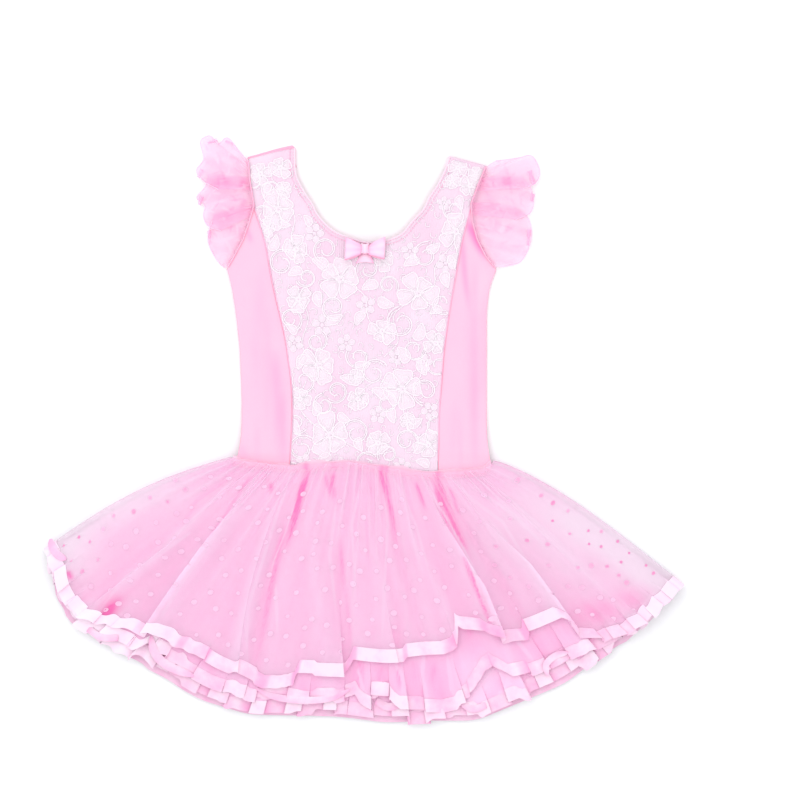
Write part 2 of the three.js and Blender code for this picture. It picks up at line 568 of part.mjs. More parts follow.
function petal(shape) {
  const armLine = edgeLine(shape.side);
  const sign = shape.side === 'left' ? -1 : 1;
  const rootHeight = WALL + SEAM_GAP;
  const lower = PETAL_ROWS.map((row) => Array.from({ length: PETAL_COLUMNS + 1 }, (_, k) => {
    const share = k / PETAL_COLUMNS;
    const rootY = mix(shape.rootFrom, shape.rootTo, share);
    const root = new THREE.Vector2(lookUp(armLine, 'y', 'x', rootY) + sign * ROOT_GAP, rootY);
    const point = root.lerp(polylinePoint(shape.edge, share), row);
    const ruffle = PETAL_RUFFLE * row * (0.5 - 0.5 * Math.cos(2 * Math.PI * shape.waves * share));
    const arch = PETAL_ARCH * Math.sin(Math.PI * row);
    const level = mix(rootHeight, shape.tip - PETAL_RUFFLE, smooth(0, 0.5, row));
    return new THREE.Vector3(point.x, point.y, Math.max(0, level + arch + ruffle));
  }));
  const upper = lower.map((row) => row.map((p) => p.clone().setZ(p.z + PETAL_WALL)));
  return sheetWall(shape.name, upper, lower, PINK.petal, 0.7);
}

// Bow: two flattened loops of satin, a wrapped knot and a short tail piece under them
function bowLoop(side) {
  const sign = side === 'left' ? -1 : 1;
  const rootX = BOW.x + sign * (BOW.knotWidth / 2 + SEAM_GAP);
  const rows = [-0.5, 0, 0.5];
  const ring = (share, inset) => Array.from({ length: BOW.loopPoints }, (_, k) => {
    const angle = (2 * Math.PI * k) / BOW.loopPoints;
    const along = 0.5 - 0.5 * Math.cos(angle);
    const length = BOW.loopLength - 2 * inset;
    const flare = mix(BOW.loopRoot, BOW.loopEnd, along);
    const height = (BOW.loopHeight / 2 - inset) * Math.sin(angle) * mix(BOW.loopPinch, 1, along);
    const x = rootX + sign * (inset + length * along);
    const z = BOW.base + SATIN_WALL + BOW.loopMiddle + height;
    return new THREE.Vector3(x, BOW.y + share * flare, z);
  });
  const outer = rows.map((share) => ring(share, 0));
  const inner = rows.map((share) => ring(share, SATIN_WALL));
  return tubeWall(`bow_loop_${side}`, outer, inner, SATIN, 0.35);
}

function bowKnot() {
  const rings = 6;
  const points = 12;
  const upper = BOW.base + SATIN_WALL;
  const positions = [];
  for (let r = 1; r < rings; r += 1) {
    const polar = (Math.PI * r) / rings;
    for (let k = 0; k < points; k += 1) {
      const angle = (2 * Math.PI * k) / points;
      const [c, s] = [Math.cos(angle), Math.sin(angle)];
      const square = 1 / Math.max(Math.abs(c), Math.abs(s)) ** 0.5;
      positions.push(new THREE.Vector3(
        BOW.x + (BOW.knotWidth / 2) * Math.sin(polar) ** 0.5 * c * square,
        BOW.y + (BOW.knotLength / 2) * -Math.cos(polar),
        upper + (BOW.knotHeight / 2) * (1 + Math.sin(polar) ** 0.5 * s * square),
      ));
    }
  }
  const low = positions.push(new THREE.Vector3(BOW.x, BOW.y - BOW.knotLength / 2, upper + BOW.knotHeight / 2)) - 1;
  const high = positions.push(new THREE.Vector3(BOW.x, BOW.y + BOW.knotLength / 2, upper + BOW.knotHeight / 2)) - 1;
  const quads = [];
  for (let k = 0; k < points; k += 1) {
    const next = (k + 1) % points;
    for (let r = 0; r < rings - 2; r += 1) {
      quads.push([r * points + k, r * points + next, (r + 1) * points + next, (r + 1) * points + k]);
    }
    const end = (rings - 2) * points;
    quads.push([low, next, k, k], [high, end + k, end + next, end + next]);
  }
  return solid('bow_knot', positions, quads, SATIN, 0.35);
}

function bowTail() {
  const grid = [0, 0.35, 0.7, 1].map((row) => [-0.5, -0.25, 0, 0.25, 0.5].map((share) => {
    const width = mix(BOW.knotWidth, BOW.tailWidth, row);
    const notch = BOW.tailNotch * row * 4 * share * share;
    return new THREE.Vector2(BOW.x + share * width, BOW.y - BOW.tailStart - BOW.tailDrop * row - notch);
  }));
  const tail = raise(grid, () => BOW.base, BOW.tailWall);
  return sheetWall('bow_tail', tail.upper, tail.lower, SATIN, 0.35);
}

const dress = new THREE.Group();
dress.add(backPanel(), ...frontPanels(), sidePanel('left'), sidePanel('right'));
for (const layer of LAYERS) dress.add(...skirtTube(layer));
for (const shape of PETALS) dress.add(petal(shape));
dress.add(bowTail(), bowLoop('left'), bowLoop('right'), bowKnot());

// The origin is the centre of the dress on the surface that it lies on
const box = new THREE.Box3().setFromObject(dress);
dress.position.set(-(box.min.x + box.max.x) / 2, -(box.min.y + box.max.y) / 2, -box.min.z);
dress.updateMatrixWorld(true);

export default dress;
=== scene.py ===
"""A child's ballet dress lying flat, with the skirt fanned out, seen from above."""

import math
import random

import bpy
import numpy as np
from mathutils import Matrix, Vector


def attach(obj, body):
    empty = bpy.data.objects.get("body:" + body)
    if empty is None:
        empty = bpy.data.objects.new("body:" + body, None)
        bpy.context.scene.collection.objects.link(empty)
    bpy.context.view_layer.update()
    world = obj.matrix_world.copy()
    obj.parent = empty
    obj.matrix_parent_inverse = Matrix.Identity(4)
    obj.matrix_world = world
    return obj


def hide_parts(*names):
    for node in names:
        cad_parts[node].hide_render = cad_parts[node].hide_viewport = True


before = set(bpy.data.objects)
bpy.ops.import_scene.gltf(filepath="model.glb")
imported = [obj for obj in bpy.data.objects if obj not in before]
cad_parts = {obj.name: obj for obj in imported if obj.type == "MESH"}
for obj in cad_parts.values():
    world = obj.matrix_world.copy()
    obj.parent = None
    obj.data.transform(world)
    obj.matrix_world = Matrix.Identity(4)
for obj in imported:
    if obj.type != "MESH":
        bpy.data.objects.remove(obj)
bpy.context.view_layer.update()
SCENE = bpy.context.scene
MM = 0.001

# The dress's own sizes are in millimetres from the middle of its waist line; this moves them to the frame
SHIFT_X, SHIFT_Y = -1.0, -35.55

# Camera: straight down on the dress, as the photo shows it
PHOTO_SIZE = 800
PHOTO_WAIST_X, PHOTO_WAIST_Y = 364, 465
LENS_MM, SENSOR_MM = 100.0, 36.0
FRAME_WIDTH = 0.8
# Height of the cloth on which the view is measured
CLOTH_HEIGHT = 0.012
cam = bpy.data.objects.new("camera", bpy.data.cameras.new("camera"))
cam.data.lens = LENS_MM
cam.data.sensor_width = SENSOR_MM
cam.location = (
    (PHOTO_SIZE / 2 - PHOTO_WAIST_X + SHIFT_X) * MM,
    (PHOTO_WAIST_Y - PHOTO_SIZE / 2 + SHIFT_Y) * MM,
    FRAME_WIDTH * LENS_MM / SENSOR_MM + CLOTH_HEIGHT,
)
SCENE.collection.objects.link(cam)
SCENE.camera = cam

# Walls of the solids, air between them, and thickness of the cloth that shows
WALL = 1.2
SEAM_GAP = 0.3
JERSEY_SHOWN, LACE_SHOWN = 0.9, 0.35
SIGNS = {"left": -1, "right": 1}
WAIST_LEFT, WAIST_RIGHT = -134, 130
RIBBON_WIDTH = 12.5
SEED = 7

WAIST_LINE = [(-134, 8), (-122, 4), (-72, -1), (-14, 3), (6, 0), (52, -7), (76, -8), (120, -4), (130, 4)]

# Outline of the spread hem: across, x, y
HEM_OUTLINE = [
    (0, -321, -81), (0.058, -314, -125), (0.101, -300, -155), (0.148, -270, -175), (0.2, -235, -195),
    (0.244, -206, -212), (0.306, -165, -236), (0.372, -116, -251), (0.439, -64, -252), (0.491, -24, -253),
    (0.549, 21, -259), (0.608, 66, -257), (0.668, 113, -257), (0.729, 156, -239), (0.793, 201, -220),
    (0.857, 241, -190), (0.908, 276, -171), (0.961, 304, -141), (1, 323, -118),
]

# Front hem of each layer: across, and the share of the way to the outline that it reaches
OVERLAY_HEM = [
    (0, 1), (0.04, 0.99), (0.084, 0.98), (0.148, 0.935), (0.198, 0.885), (0.204, 0.862), (0.238, 0.86),
    (0.284, 0.845), (0.29, 0.852), (0.341, 0.862), (0.378, 0.89), (0.418, 0.885), (0.424, 0.835),
    (0.496, 0.835), (0.504, 0.765), (0.582, 0.76), (0.588, 0.742), (0.646, 0.73), (0.676, 0.7),
    (0.682, 0.632), (0.69, 0.645), (0.722, 0.675), (0.738, 0.73), (0.748, 0.752), (0.778, 0.785),
    (0.784, 0.748), (0.838, 0.772), (0.847, 0.86), (0.87, 0.965), (0.9, 0.985), (0.93, 1), (1, 1),
]
MIDDLE_HEM = [
    (0, 0.985), (0.084, 0.975), (0.146, 0.965), (0.196, 0.962), (0.206, 0.905), (0.23, 0.925),
    (0.27, 0.945), (0.33, 0.95), (0.37, 0.948), (0.4, 0.93), (0.44, 0.955), (0.486, 0.95), (0.508, 0.91),
    (0.53, 0.955), (0.536, 0.9), (0.562, 0.9), (0.57, 0.95), (0.627, 0.965), (0.66, 0.94), (0.7, 0.84),
    (0.716, 0.83), (0.735, 0.9), (0.76, 0.915), (0.818, 0.925), (0.856, 0.965), (0.92, 0.985), (1, 0.985),
]
UNDER_HEM = [(0, 1), (1, 1)]

# Folds of the skirt: across at the waist, halfway and at the hem, rise, spread, steep side, from, to
SKIRT_FOLDS = [
    (0.03, 0.045, 0.05, 3, 0.022, "none", 0.3, 0.7), (0.1, 0.118, 0.107, 4, 0.02, "left", 0.25, 0.5),
    (0.154, 0.178, 0.204, 8, 0.034, "left", 0.04, 0.4), (0.25, 0.3, 0.357, 5, 0.02, "none", 0.02, 0.3),
    (0.3, 0.333, 0.372, -3.4, 0.016, "none", 0.05, 0.4),
    (0.331, 0.43, 0.486, 4.5, 0.024, "none", 0.04, 0.35),
    (0.43, 0.472, 0.516, -3, 0.016, "none", 0.2, 0.45), (0.5, 0.56, 0.58, 4, 0.026, "right", 0.1, 0.6),
    (0.567, 0.61, 0.63, -3, 0.014, "none", 0.02, 0.3), (0.608, 0.665, 0.68, 4, 0.022, "none", 0.03, 0.3),
    (0.716, 0.75, 0.733, 8, 0.034, "right", 0.03, 0.3),
    (0.765, 0.79, 0.784, -3.4, 0.014, "none", 0.05, 0.3),
    (0.821, 0.853, 0.842, 5.5, 0.024, "right", 0.05, 0.4), (0.891, 0.912, 0.93, 4, 0.024, "none", 0.1, 0.4),
    (0.95, 0.965, 0.972, 2.5, 0.016, "none", 0.3, 0.7),
]

# Laps, where the cloth doubles back under itself: across as above, half width, overlap, rise, high side,
# from, to
OVERLAY_LAPS = [
    (0.154, 0.178, 0.198, 0.010, 2.4, 2.6, "right", 0.05, 0.45),
    (0.1, 0.118, 0.107, 0.008, 1.2, 1.6, "right", 0.3, 0.6),
    (0.25, 0.30, 0.357, 0.006, 1.4, 1.4, "left", 0.05, 0.35),
    (0.287, 0.287, 0.287, 0.004, 2.3, 1.2, "left", 0.72, 0.9),
    (0.331, 0.43, 0.418, 0.006, 2.2, 1.6, "right", 0.75, 0.98),
    (0.43, 0.472, 0.5, 0.007, 2.4, 2.2, "left", 0.3, 0.95),
    (0.5, 0.56, 0.585, 0.005, 2.2, 1.4, "left", 0.4, 0.8),
    (0.608, 0.665, 0.679, 0.007, 2.4, 2.2, "right", 0.35, 0.95),
    (0.716, 0.752, 0.738, 0.010, 2.4, 2.8, "left", 0.05, 0.35),
    (0.77, 0.79, 0.785, 0.006, 2.2, 1.4, "right", 0.45, 0.9),
    (0.821, 0.853, 0.846, 0.008, 2.3, 2.2, "left", 0.12, 0.5),
]
# Small laps along the overlay's hem at the ends of the fan
OVERLAY_LAPS += [
    (spot, spot, spot, 0.0045, 2.2, rise, side, 0.8, 0.97)
    for spot, rise, side in (
        (0.018, 0.8, "left"), (0.041, 1.0, "right"), (0.066, 1.1, "left"), (0.086, 0.9, "right"),
        (0.13, 1.0, "left"), (0.152, 1.0, "right"), (0.176, 1.1, "left"), (0.868, 1.2, "left"),
        (0.881, 1.0, "right"), (0.897, 1.2, "left"), (0.911, 0.9, "right"), (0.926, 1.2, "left"),
        (0.94, 0.9, "right"), (0.957, 1.0, "left"), (0.972, 0.8, "right"), (0.986, 0.7, "left"))
]


def mix(a, b, share):
    return a + (b - a) * share


def smooth(low, high, value):
    t = np.clip((np.asarray(value, float) - low) / (high - low), 0, 1)
    return t * t * (3 - 2 * t)


def roll(distance, radius):
    t = 1 - np.clip(np.asarray(distance, float) / radius, 0, 1)
    return np.sqrt(np.maximum(0, 1 - t * t))


def read(table, column, value):
    return np.interp(value, [row[0] for row in table], [row[column] for row in table])


def read_soft(table, column, value, blur=0.012):
    steps = (-1, -0.5, 0, 0.5, 1)
    return sum(read(table, column, value + blur * s) for s in steps) / len(steps)


def waist_point(across):
    x = mix(WAIST_LEFT, WAIST_RIGHT, across)
    return x, read(WAIST_LINE, 1, x)


def outline_point(across):
    return read_soft(HEM_OUTLINE, 1, across), read_soft(HEM_OUTLINE, 2, across)


def fan_point(across, down):
    """A place on the spread skirt: across from left to right, down from the waist to the outline."""
    wx, wy = waist_point(across)
    hx, hy = outline_point(across)
    left = np.maximum(0, 1 - across / 0.16) ** 2
    right = np.maximum(0, (across - 0.8) / 0.2) ** 2
    along = np.clip(down, 0, 1)
    y = mix(wy, hy, down) + 12 * left * np.sin(math.pi * along) + 12 * right * np.sin(math.pi * along**0.75)
    return mix(wx, hx, down), y


def fan_length(across):
    wx, wy = waist_point(across)
    hx, hy = outline_point(across)
    return np.hypot(hx - wx, hy - wy)


def drift(row, down):
    """Where a fold lies across the skirt at each distance down."""
    return np.interp(down, (0, 0.5, 1), (row[0], row[1], row[2]))


def fold_height(across, down):
    height = 0
    for fold in SKIRT_FOLDS:
        _, _, _, rise, spread, steep, start, end = fold
        offset = across - drift(fold, down)
        narrow = (offset < 0) & (steep == "left") | (offset > 0) & (steep == "right")
        width = np.where(narrow, spread * 0.5, spread)
        height = height + rise * np.exp(-((offset / width) ** 2)) * smooth(start, end, down)
    return height


def lap(across, down, laps):
    """Shifts across and height where the cloth doubles back under itself."""
    shift, height = 0, 0
    for row in laps:
        _, _, _, half, overlap, rise, high, start, end = row
        u = (across - drift(row, down)) / half
        grow = smooth(start, end, down)
        shift = shift - overlap * grow * u * half * np.exp(-u * u)
        side = -u if high == "left" else u
        height = height + rise * grow / (1 + np.exp(-5 * side)) * np.exp(-((u / 3.5) ** 2))
    return shift, height


def fine_gathers(across, down, count, seed, height, reach):
    """Small creases that run down from the gathered waist, uneven in place, width and length."""
    rng = random.Random(seed)
    total = np.zeros_like(across)
    for _ in range(count):
        place = rng.random()
        lean = rng.uniform(-0.012, 0.012)
        width = rng.uniform(0.0024, 0.0085)
        end = reach * rng.uniform(0.3, 1.0) ** 1.3
        size = height * rng.uniform(0.35, 1)
        u = (across - place - lean * down) / (width * (1 + 0.8 * down))
        total += size * np.exp(-u * u) * (1 - smooth(end * 0.35, end, down))
    return total


def place(x, y, z):
    """Points of the frame in metres, from the dress's own millimetres."""
    return np.stack([(x + SHIFT_X) * MM, (y + SHIFT_Y) * MM, z * MM], axis=-1)


def make_mesh(name, points, faces, material, tint=None, pale=None):
    mesh = bpy.data.meshes.new(name)
    points = np.asarray(points, np.float32).reshape(-1, 3)
    faces = np.asarray(faces, np.int32)
    width = faces.shape[1]
    mesh.vertices.add(len(points))
    mesh.vertices.foreach_set("co", points.ravel())
    mesh.loops.add(faces.size)
    mesh.loops.foreach_set("vertex_index", faces.ravel())
    mesh.polygons.add(len(faces))
    mesh.polygons.foreach_set("loop_start", np.arange(0, faces.size, width, dtype=np.int32))
    mesh.polygons.foreach_set("loop_total", np.full(len(faces), width, np.int32))
    mesh.polygons.foreach_set("use_smooth", np.ones(len(faces), bool))
    mesh.update(calc_edges=True)
    mesh.validate()
    for kind, values in (("tint", tint), ("pale", pale)):
        if values is not None:
            layer = mesh.attributes.new(kind, "FLOAT", "POINT")
            layer.data.foreach_set("value", np.asarray(values, np.float32).ravel())
    mesh.materials.append(material)
    obj = bpy.data.objects.new(name, mesh)
    SCENE.collection.objects.link(obj)
    return obj


def grid_faces(rows, columns, wrap=False):
    r, c = np.meshgrid(np.arange(rows - 1), np.arange(columns if wrap else columns - 1), indexing="ij")
    a = (r * columns + c).ravel()
    b = (r * columns + (c + 1) % columns).ravel()
    return np.stack([a, b, b + columns, a + columns], axis=-1)


def grid_object(name, points, material, tint=None, wrap=False, pale=None):
    """A sheet from rows of points. An open one faces up, and a tube faces out."""
    rows, columns = points.shape[:2]
    faces = grid_faces(rows, columns, wrap)
    flat = points.reshape(-1, 3)
    one, two = flat[faces[:, 2]] - flat[faces[:, 0]], flat[faces[:, 3]] - flat[faces[:, 1]]
    if wrap or (one[:, 0] * two[:, 1] - one[:, 1] * two[:, 0]).sum() < 0:
        faces = faces[:, ::-1]
    return make_mesh(name, points, faces, material, tint, pale)


def joined(name, parts, material, tint):
    """One piece from the points, in the dress's millimetres, and the faces of its parts."""
    points, faces, start = [], [], 0
    for verts, quads in parts:
        if len(verts) and len(quads):
            points.append(verts)
            faces.append(quads + start)
            start += len(verts)
    points = np.concatenate(points)
    return make_mesh(name, place(*points.T), np.concatenate(faces), material,
                     np.broadcast_to(tint, len(points)))


def belongs(obj, slot, *nodes):
    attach(obj, "root")
    if nodes:
        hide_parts(*nodes)
    return obj


def thicken(obj, thickness):
    """Gives a sheet its thickness, on its underside."""
    modifier = obj.modifiers.new("wall", "SOLIDIFY")
    modifier.thickness = thickness * MM
    modifier.offset = -1
    return obj


# Materials
def srgb(r, g, b):
    def linear(v):
        v /= 255
        return v / 12.92 if v <= 0.04045 else ((v + 0.055) / 1.055) ** 2.4

    return (linear(r), linear(g), linear(b), 1)


# Colour of the cloth where fewer layers lie
PALE = srgb(242, 224, 237)
# How far the grain moves the tint, and the height of the weave
GRAIN_TINT = 0.12
RELIEF = 0.3 * MM


def cloth(name, light, deep, roughness, alpha=1.0, sheen=0.0, specular=0.3, grain=900, bump=0.15, cloud=0.0,
          cloud_scale=60, weave=None):
    """Cloth whose colour goes from light to deep by the surface's tint, with clouding, grain and weave."""
    material = bpy.data.materials.new(name)
    material.use_nodes = True
    nodes, links = material.node_tree.nodes, material.node_tree.links

    def node(kind, inputs, **settings):
        made = nodes.new(f"ShaderNode{kind}")
        for key, value in settings.items():
            setattr(made, key, value)
        return feed(made, inputs)

    def feed(target, inputs):
        for key, value in inputs.items():
            if isinstance(value, bpy.types.NodeSocket):
                links.new(value, target.inputs[key])
            else:
                target.inputs[key].default_value = value
        return target

    def attribute(kind):
        return node("Attribute", {}, attribute_name=kind).outputs["Fac"]

    where = node("TexCoord", {}).outputs["Object"]
    clouds = node("TexNoise", {"Vector": where, "Scale": cloud_scale, "Detail": 3}).outputs["Fac"]
    grains = node("TexNoise", {"Vector": where, "Scale": grain, "Detail": 2}).outputs["Fac"]
    cloudy = node("Math", {0: clouds, 1: 2 * cloud, 2: -cloud}, operation="MULTIPLY_ADD")
    grainy = node("Math", {0: grains, 1: 2 * GRAIN_TINT, 2: -GRAIN_TINT}, operation="MULTIPLY_ADD")
    base = node("Math", {0: attribute("tint"), 1: cloudy.outputs[0]}, operation="ADD")
    tint = node("Math", {0: base.outputs[0], 1: grainy.outputs[0]}, operation="ADD", use_clamp=True)
    dyed = node("Mix", {0: tint.outputs[0], 6: srgb(*light), 7: srgb(*deep)}, data_type="RGBA")
    washed = node("Mix", {0: attribute("pale"), 6: dyed.outputs[2], 7: PALE}, data_type="RGBA")
    height = grains
    if weave:
        threads = node("TexWave", {"Vector": where, "Scale": weave, "Distortion": 0.6})
        height = node("Math", {0: threads.outputs["Fac"], 1: grains}, operation="ADD").outputs[0]
    relief = node("Bump", {"Strength": bump, "Distance": RELIEF, "Height": height})
    feed(nodes["Principled BSDF"], {
        "Base Color": washed.outputs[2], "Normal": relief.outputs["Normal"], "Roughness": roughness,
        "Alpha": alpha, "Sheen Weight": sheen, "Specular IOR Level": specular})
    return material


JERSEY = cloth("jersey", (252, 186, 207), (252, 128, 184), 0.75, sheen=0.1, grain=1500, cloud=0.05,
               weave=420)
JERSEY_BACK = cloth("jersey_back", (252, 180, 206), (252, 128, 184), 0.8, grain=1500, cloud=0.05, weave=420)
LACE_GROUND = cloth("lace_ground", (233, 213, 227), (230, 191, 214), 0.85, alpha=0.92, grain=900,
                    cloud=0.25, cloud_scale=130, bump=0.6, weave=150)
LACE_FILL = cloth("lace_fill", (226, 211, 221), (222, 194, 210), 0.8, grain=700, cloud=0.15,
                  cloud_scale=250, bump=0.6)
LACE_CORD = cloth("lace_cord", (234, 225, 231), (226, 208, 219), 0.6, grain=1200, cloud=0.1)
TULLE_OVERLAY = cloth("tulle_overlay", (244, 214, 236), (250, 118, 190), 0.85, alpha=0.5, grain=1300,
                      cloud=0.05, cloud_scale=45, bump=0.3)
TULLE_MIDDLE = cloth("tulle_middle", (247, 199, 230), (250, 112, 186), 0.85, alpha=0.75, grain=1300,
                     cloud=0.08, cloud_scale=40, bump=0.3)
TULLE_UNDER = cloth("tulle_under", (248, 203, 232), (250, 112, 186), 0.85, alpha=0.85, grain=1300,
                    cloud=0.08, cloud_scale=40, bump=0.3)
WAIST_TULLE = cloth("waist_tulle", (250, 196, 220), (250, 124, 186), 0.85, alpha=0.8, grain=1300,
                    cloud=0.12, cloud_scale=60, bump=0.3)
DOTS = cloth("dots", (232, 192, 217), (224, 138, 184), 0.8, alpha=0.88, grain=900, cloud=0.3,
             cloud_scale=180)
# Satin's strong clouding is painted sheen: whitish patches of glare among pinker ones
SATIN_PAINTED_SHEEN = cloth("satin_ribbon", (234, 207, 223), (230, 156, 198), 0.28, specular=0.5, grain=1500, cloud=0.5,
              cloud_scale=95, bump=0.05)
SATIN_BOW = cloth("satin_bow", (248, 206, 224), (248, 160, 202), 0.3, specular=0.5, grain=1500, cloud=0.2,
                  cloud_scale=120, bump=0.05)
ORGANZA = cloth("organza", (254, 193, 224), (254, 116, 188), 0.5, alpha=0.5, specular=0.45, grain=1400,
                cloud=0.12, cloud_scale=60)
ORGANZA_EDGE = cloth("organza_edge", (252, 206, 230), (250, 166, 208), 0.5, alpha=0.85, grain=900,
                     cloud=0.1)
THREAD = cloth("thread", (246, 186, 212), (244, 140, 188), 0.7, grain=900, cloud=0.1)


def hem_laps(seed, count, half, overlap, rise):
    """Small laps that turn a layer's hem in and out, with uneven spacing."""
    rng = random.Random(seed)
    rows = []
    for k in range(count):
        spot = (k + 0.5 + rng.uniform(-0.42, 0.42)) / count
        side = "left" if k % 2 else "right"
        rows.append((spot, spot, spot, half * rng.uniform(0.7, 1.2), overlap * rng.uniform(0.8, 1.15),
                     rise * rng.uniform(0.7, 1.2), side, rng.uniform(0.6, 0.8), 0.98))
    return rows


# Skirt layers, from the innermost. Heights: floor, waist, body and how far the hem droops. Then the share
# of the folds, inset and radius of the sides, reach of the back hem, line of the front hem, depth and number
# of its steps, size and phase of its scallops, weight of the deep pink and painted shade marks, columns and
# rows of the mesh
LAYERS = {
    "under": dict(floor=3.8, waist=9.3, body=9.3, droop=1.5, share=0.45, inset=0.024, radius=6, back=1,
                  hem=UNDER_HEM, steps=(0.03, 56), scallops=(0.006, 4.0), marks=0.6, mesh=(560, 40),
                  material=TULLE_UNDER, laps=hem_laps(SEED + 2, 40, 0.0055, 2.4, 1.8)),
    "middle": dict(floor=2.2, waist=11, body=14.2, droop=3.6, share=0.72, inset=0.012, radius=8, back=0.985,
                   hem=MIDDLE_HEM, steps=(0.022, 40), scallops=(0.004, 2.1), marks=0.6, mesh=(560, 44),
                   material=TULLE_MIDDLE, laps=hem_laps(SEED + 1, 30, 0.006, 2.5, 2.0)),
    "overlay": dict(floor=0.6, waist=12.9, body=19, droop=5, share=1, inset=0, radius=10, back=0.97,
                    hem=OVERLAY_HEM, steps=(0.012, 24), scallops=(0.007, 0), marks=1, mesh=(900, 84),
                    material=TULLE_OVERLAY, laps=OVERLAY_LAPS),
}

# Deeper pink where gathers bunch and layers double, and painted shade in the fold valleys,
# as lines of points with a half width and a strength
DEEP_PINK_AND_SHADE_MARKS = [
    ([(-57, -6), (-62, -26), (-68, -50), (-78, -84)], 3.2, 0.95), ([(-62, -16), (-70, -48)], 1.6, 0.5),
    ([(-80, -62), (-92, -120), (-101, -172), (-109, -206)], 3.2, 0.32),
    ([(-24, -76), (-17, -140), (-9, -205)], 2.2, 0.2),
    ([(16, -4), (22, -24), (29, -50), (34, -84)], 3.2, 0.65), ([(22, -8), (28, -30)], 1.6, 0.4),
    ([(4, -8), (8, -34)], 1.5, 0.3), ([(72, -14), (80, -36), (92, -62), (106, -92)], 3.6, 0.95),
    ([(71, -26), (79, -50), (92, -74)], 1.8, 0.6), ([(86, -24), (96, -52)], 2, 0.35),
    ([(100, -92), (113, -124), (128, -162), (134, -176)], 2.4, 0.6),
    ([(-114, -12), (-140, -52), (-160, -80)], 1.8, 0.35), ([(-98, -12), (-88, -32)], 2.2, 0.4),
    ([(-40, -8), (-32, -34)], 2, 0.35), ([(52, -18), (62, -46)], 2, 0.35),
    ([(134, -60), (164, -96), (186, -130)], 2.4, 0.25), ([(30, -160), (34, -190)], 4, 0.25),
    ([(-130, -10), (-166, -34), (-180, -60)], 2.4, 0.2), ([(2, -52), (6, -110)], 2, 0.2),
    ([(-30, -8), (-32, -20), (-30, -36)], 3, 0.7), ([(-4, -190), (-5, -226)], 4.5, 0.7),
    ([(18, -200), (16, -222)], 5, 0.3), ([(50, -196), (54, -222)], 3, 0.4),
    ([(-60, -222), (-58, -240)], 4, 0.3), ([(58, -226), (62, -250)], 6, 0.35),
    ([(34, -196), (36, -226)], 2.5, 0.4), ([(70, -200), (66, -226)], 3, 0.35),
    ([(112, -150), (104, -172)], 3, 0.3), ([(-160, -204), (-120, -214)], 4, 0.2),
]
# Painted highlights: paler lines where the cloth turns over along a fold
FOLD_HIGHLIGHT_MARKS = [
    ([(-104, -9), (-128, -40), (-152, -76), (-182, -118), (-208, -162)], 1.1, 0.5),
    ([(-72, -6), (-80, -30), (-87, -52), (-104, -106), (-117, -146), (-116, -205)], 0.9, 0.5),
    ([(-66, -30), (-76, -60), (-90, -96), (-98, -130)], 0.9, 0.35),
    ([(58, -12), (72, -36), (83, -54), (99, -82), (110, -106), (116, -128), (133, -172)], 1.1, 0.6),
    ([(86, -12), (110, -36), (138, -56), (166, -102), (184, -130), (206, -160)], 1.1, 0.5),
    ([(-174, -68), (-206, -90), (-238, -112), (-272, -156)], 1.2, 0.4),
    ([(-28, -40), (-34, -90), (-26, -160)], 1.4, 0.25), ([(-2, -12), (-12, -60), (-8, -130)], 1.2, 0.25),
    ([(18, -18), (24, -60), (20, -130), (18, -180)], 1.2, 0.25),
    ([(30, -14), (52, -60), (66, -110)], 1.2, 0.3), ([(-130, -14), (-170, -54), (-200, -80)], 1.5, 0.3),
    ([(-88, -120), (-86, -170)], 1.1, 0.3), ([(110, -22), (150, -50), (184, -84)], 1.4, 0.3),
]
# Painted highlights on the layers below, where a rounded end of the cloth lies over them
LOWER_FOLD_HIGHLIGHT_MARKS = [
    ([(84, -196), (88, -224), (100, -242), (124, -244), (142, -226), (146, -204)], 1.3, 0.8),
    ([(112, -196), (112, -216), (116, -240)], 13, 0.4), ([(60, -190), (58, -214), (64, -236)], 1.2, 0.6),
    ([(30, -194), (40, -216), (38, -238)], 1.2, 0.5), ([(-6, -204), (-2, -222), (4, -240)], 1.2, 0.5),
    ([(-190, -196), (-160, -206), (-130, -212)], 2, 0.3), ([(150, -172), (170, -196)], 1.4, 0.5),
]
# Deeper pink near the hem at the ends of the fan, where layers double
END_MARKS = [
    ([(-270, -164), (-262, -152), (-250, -134), (-244, -124)], 9, 0.75),
    ([(-258, -150), (-250, -138)], 5, 0.4), ([(196, -158), (230, -149), (262, -136), (300, -118)], 11, 0.2),
    ([(-312, -78), (-304, -88)], 4, 0.5), ([(-296, -106), (-290, -116)], 3, 0.6),
]
# The sheer ends of the spread skirt, where fewer layers lie
SHEER_MARKS = [
    ([(120, -44), (260, -112)], 50, 0.42), ([(-130, -44), (-240, -84)], 40, 0.08),
    ([(-340, -100), (-272, -56), (-216, -30), (-150, -14)], 17, 0.6),
    ([(-340, -104), (-250, -84)], 28, 0.55), ([(340, -136), (268, -90), (212, -56), (150, -26)], 19, 0.7),
    ([(345, -124), (230, -92)], 26, 0.5),
]
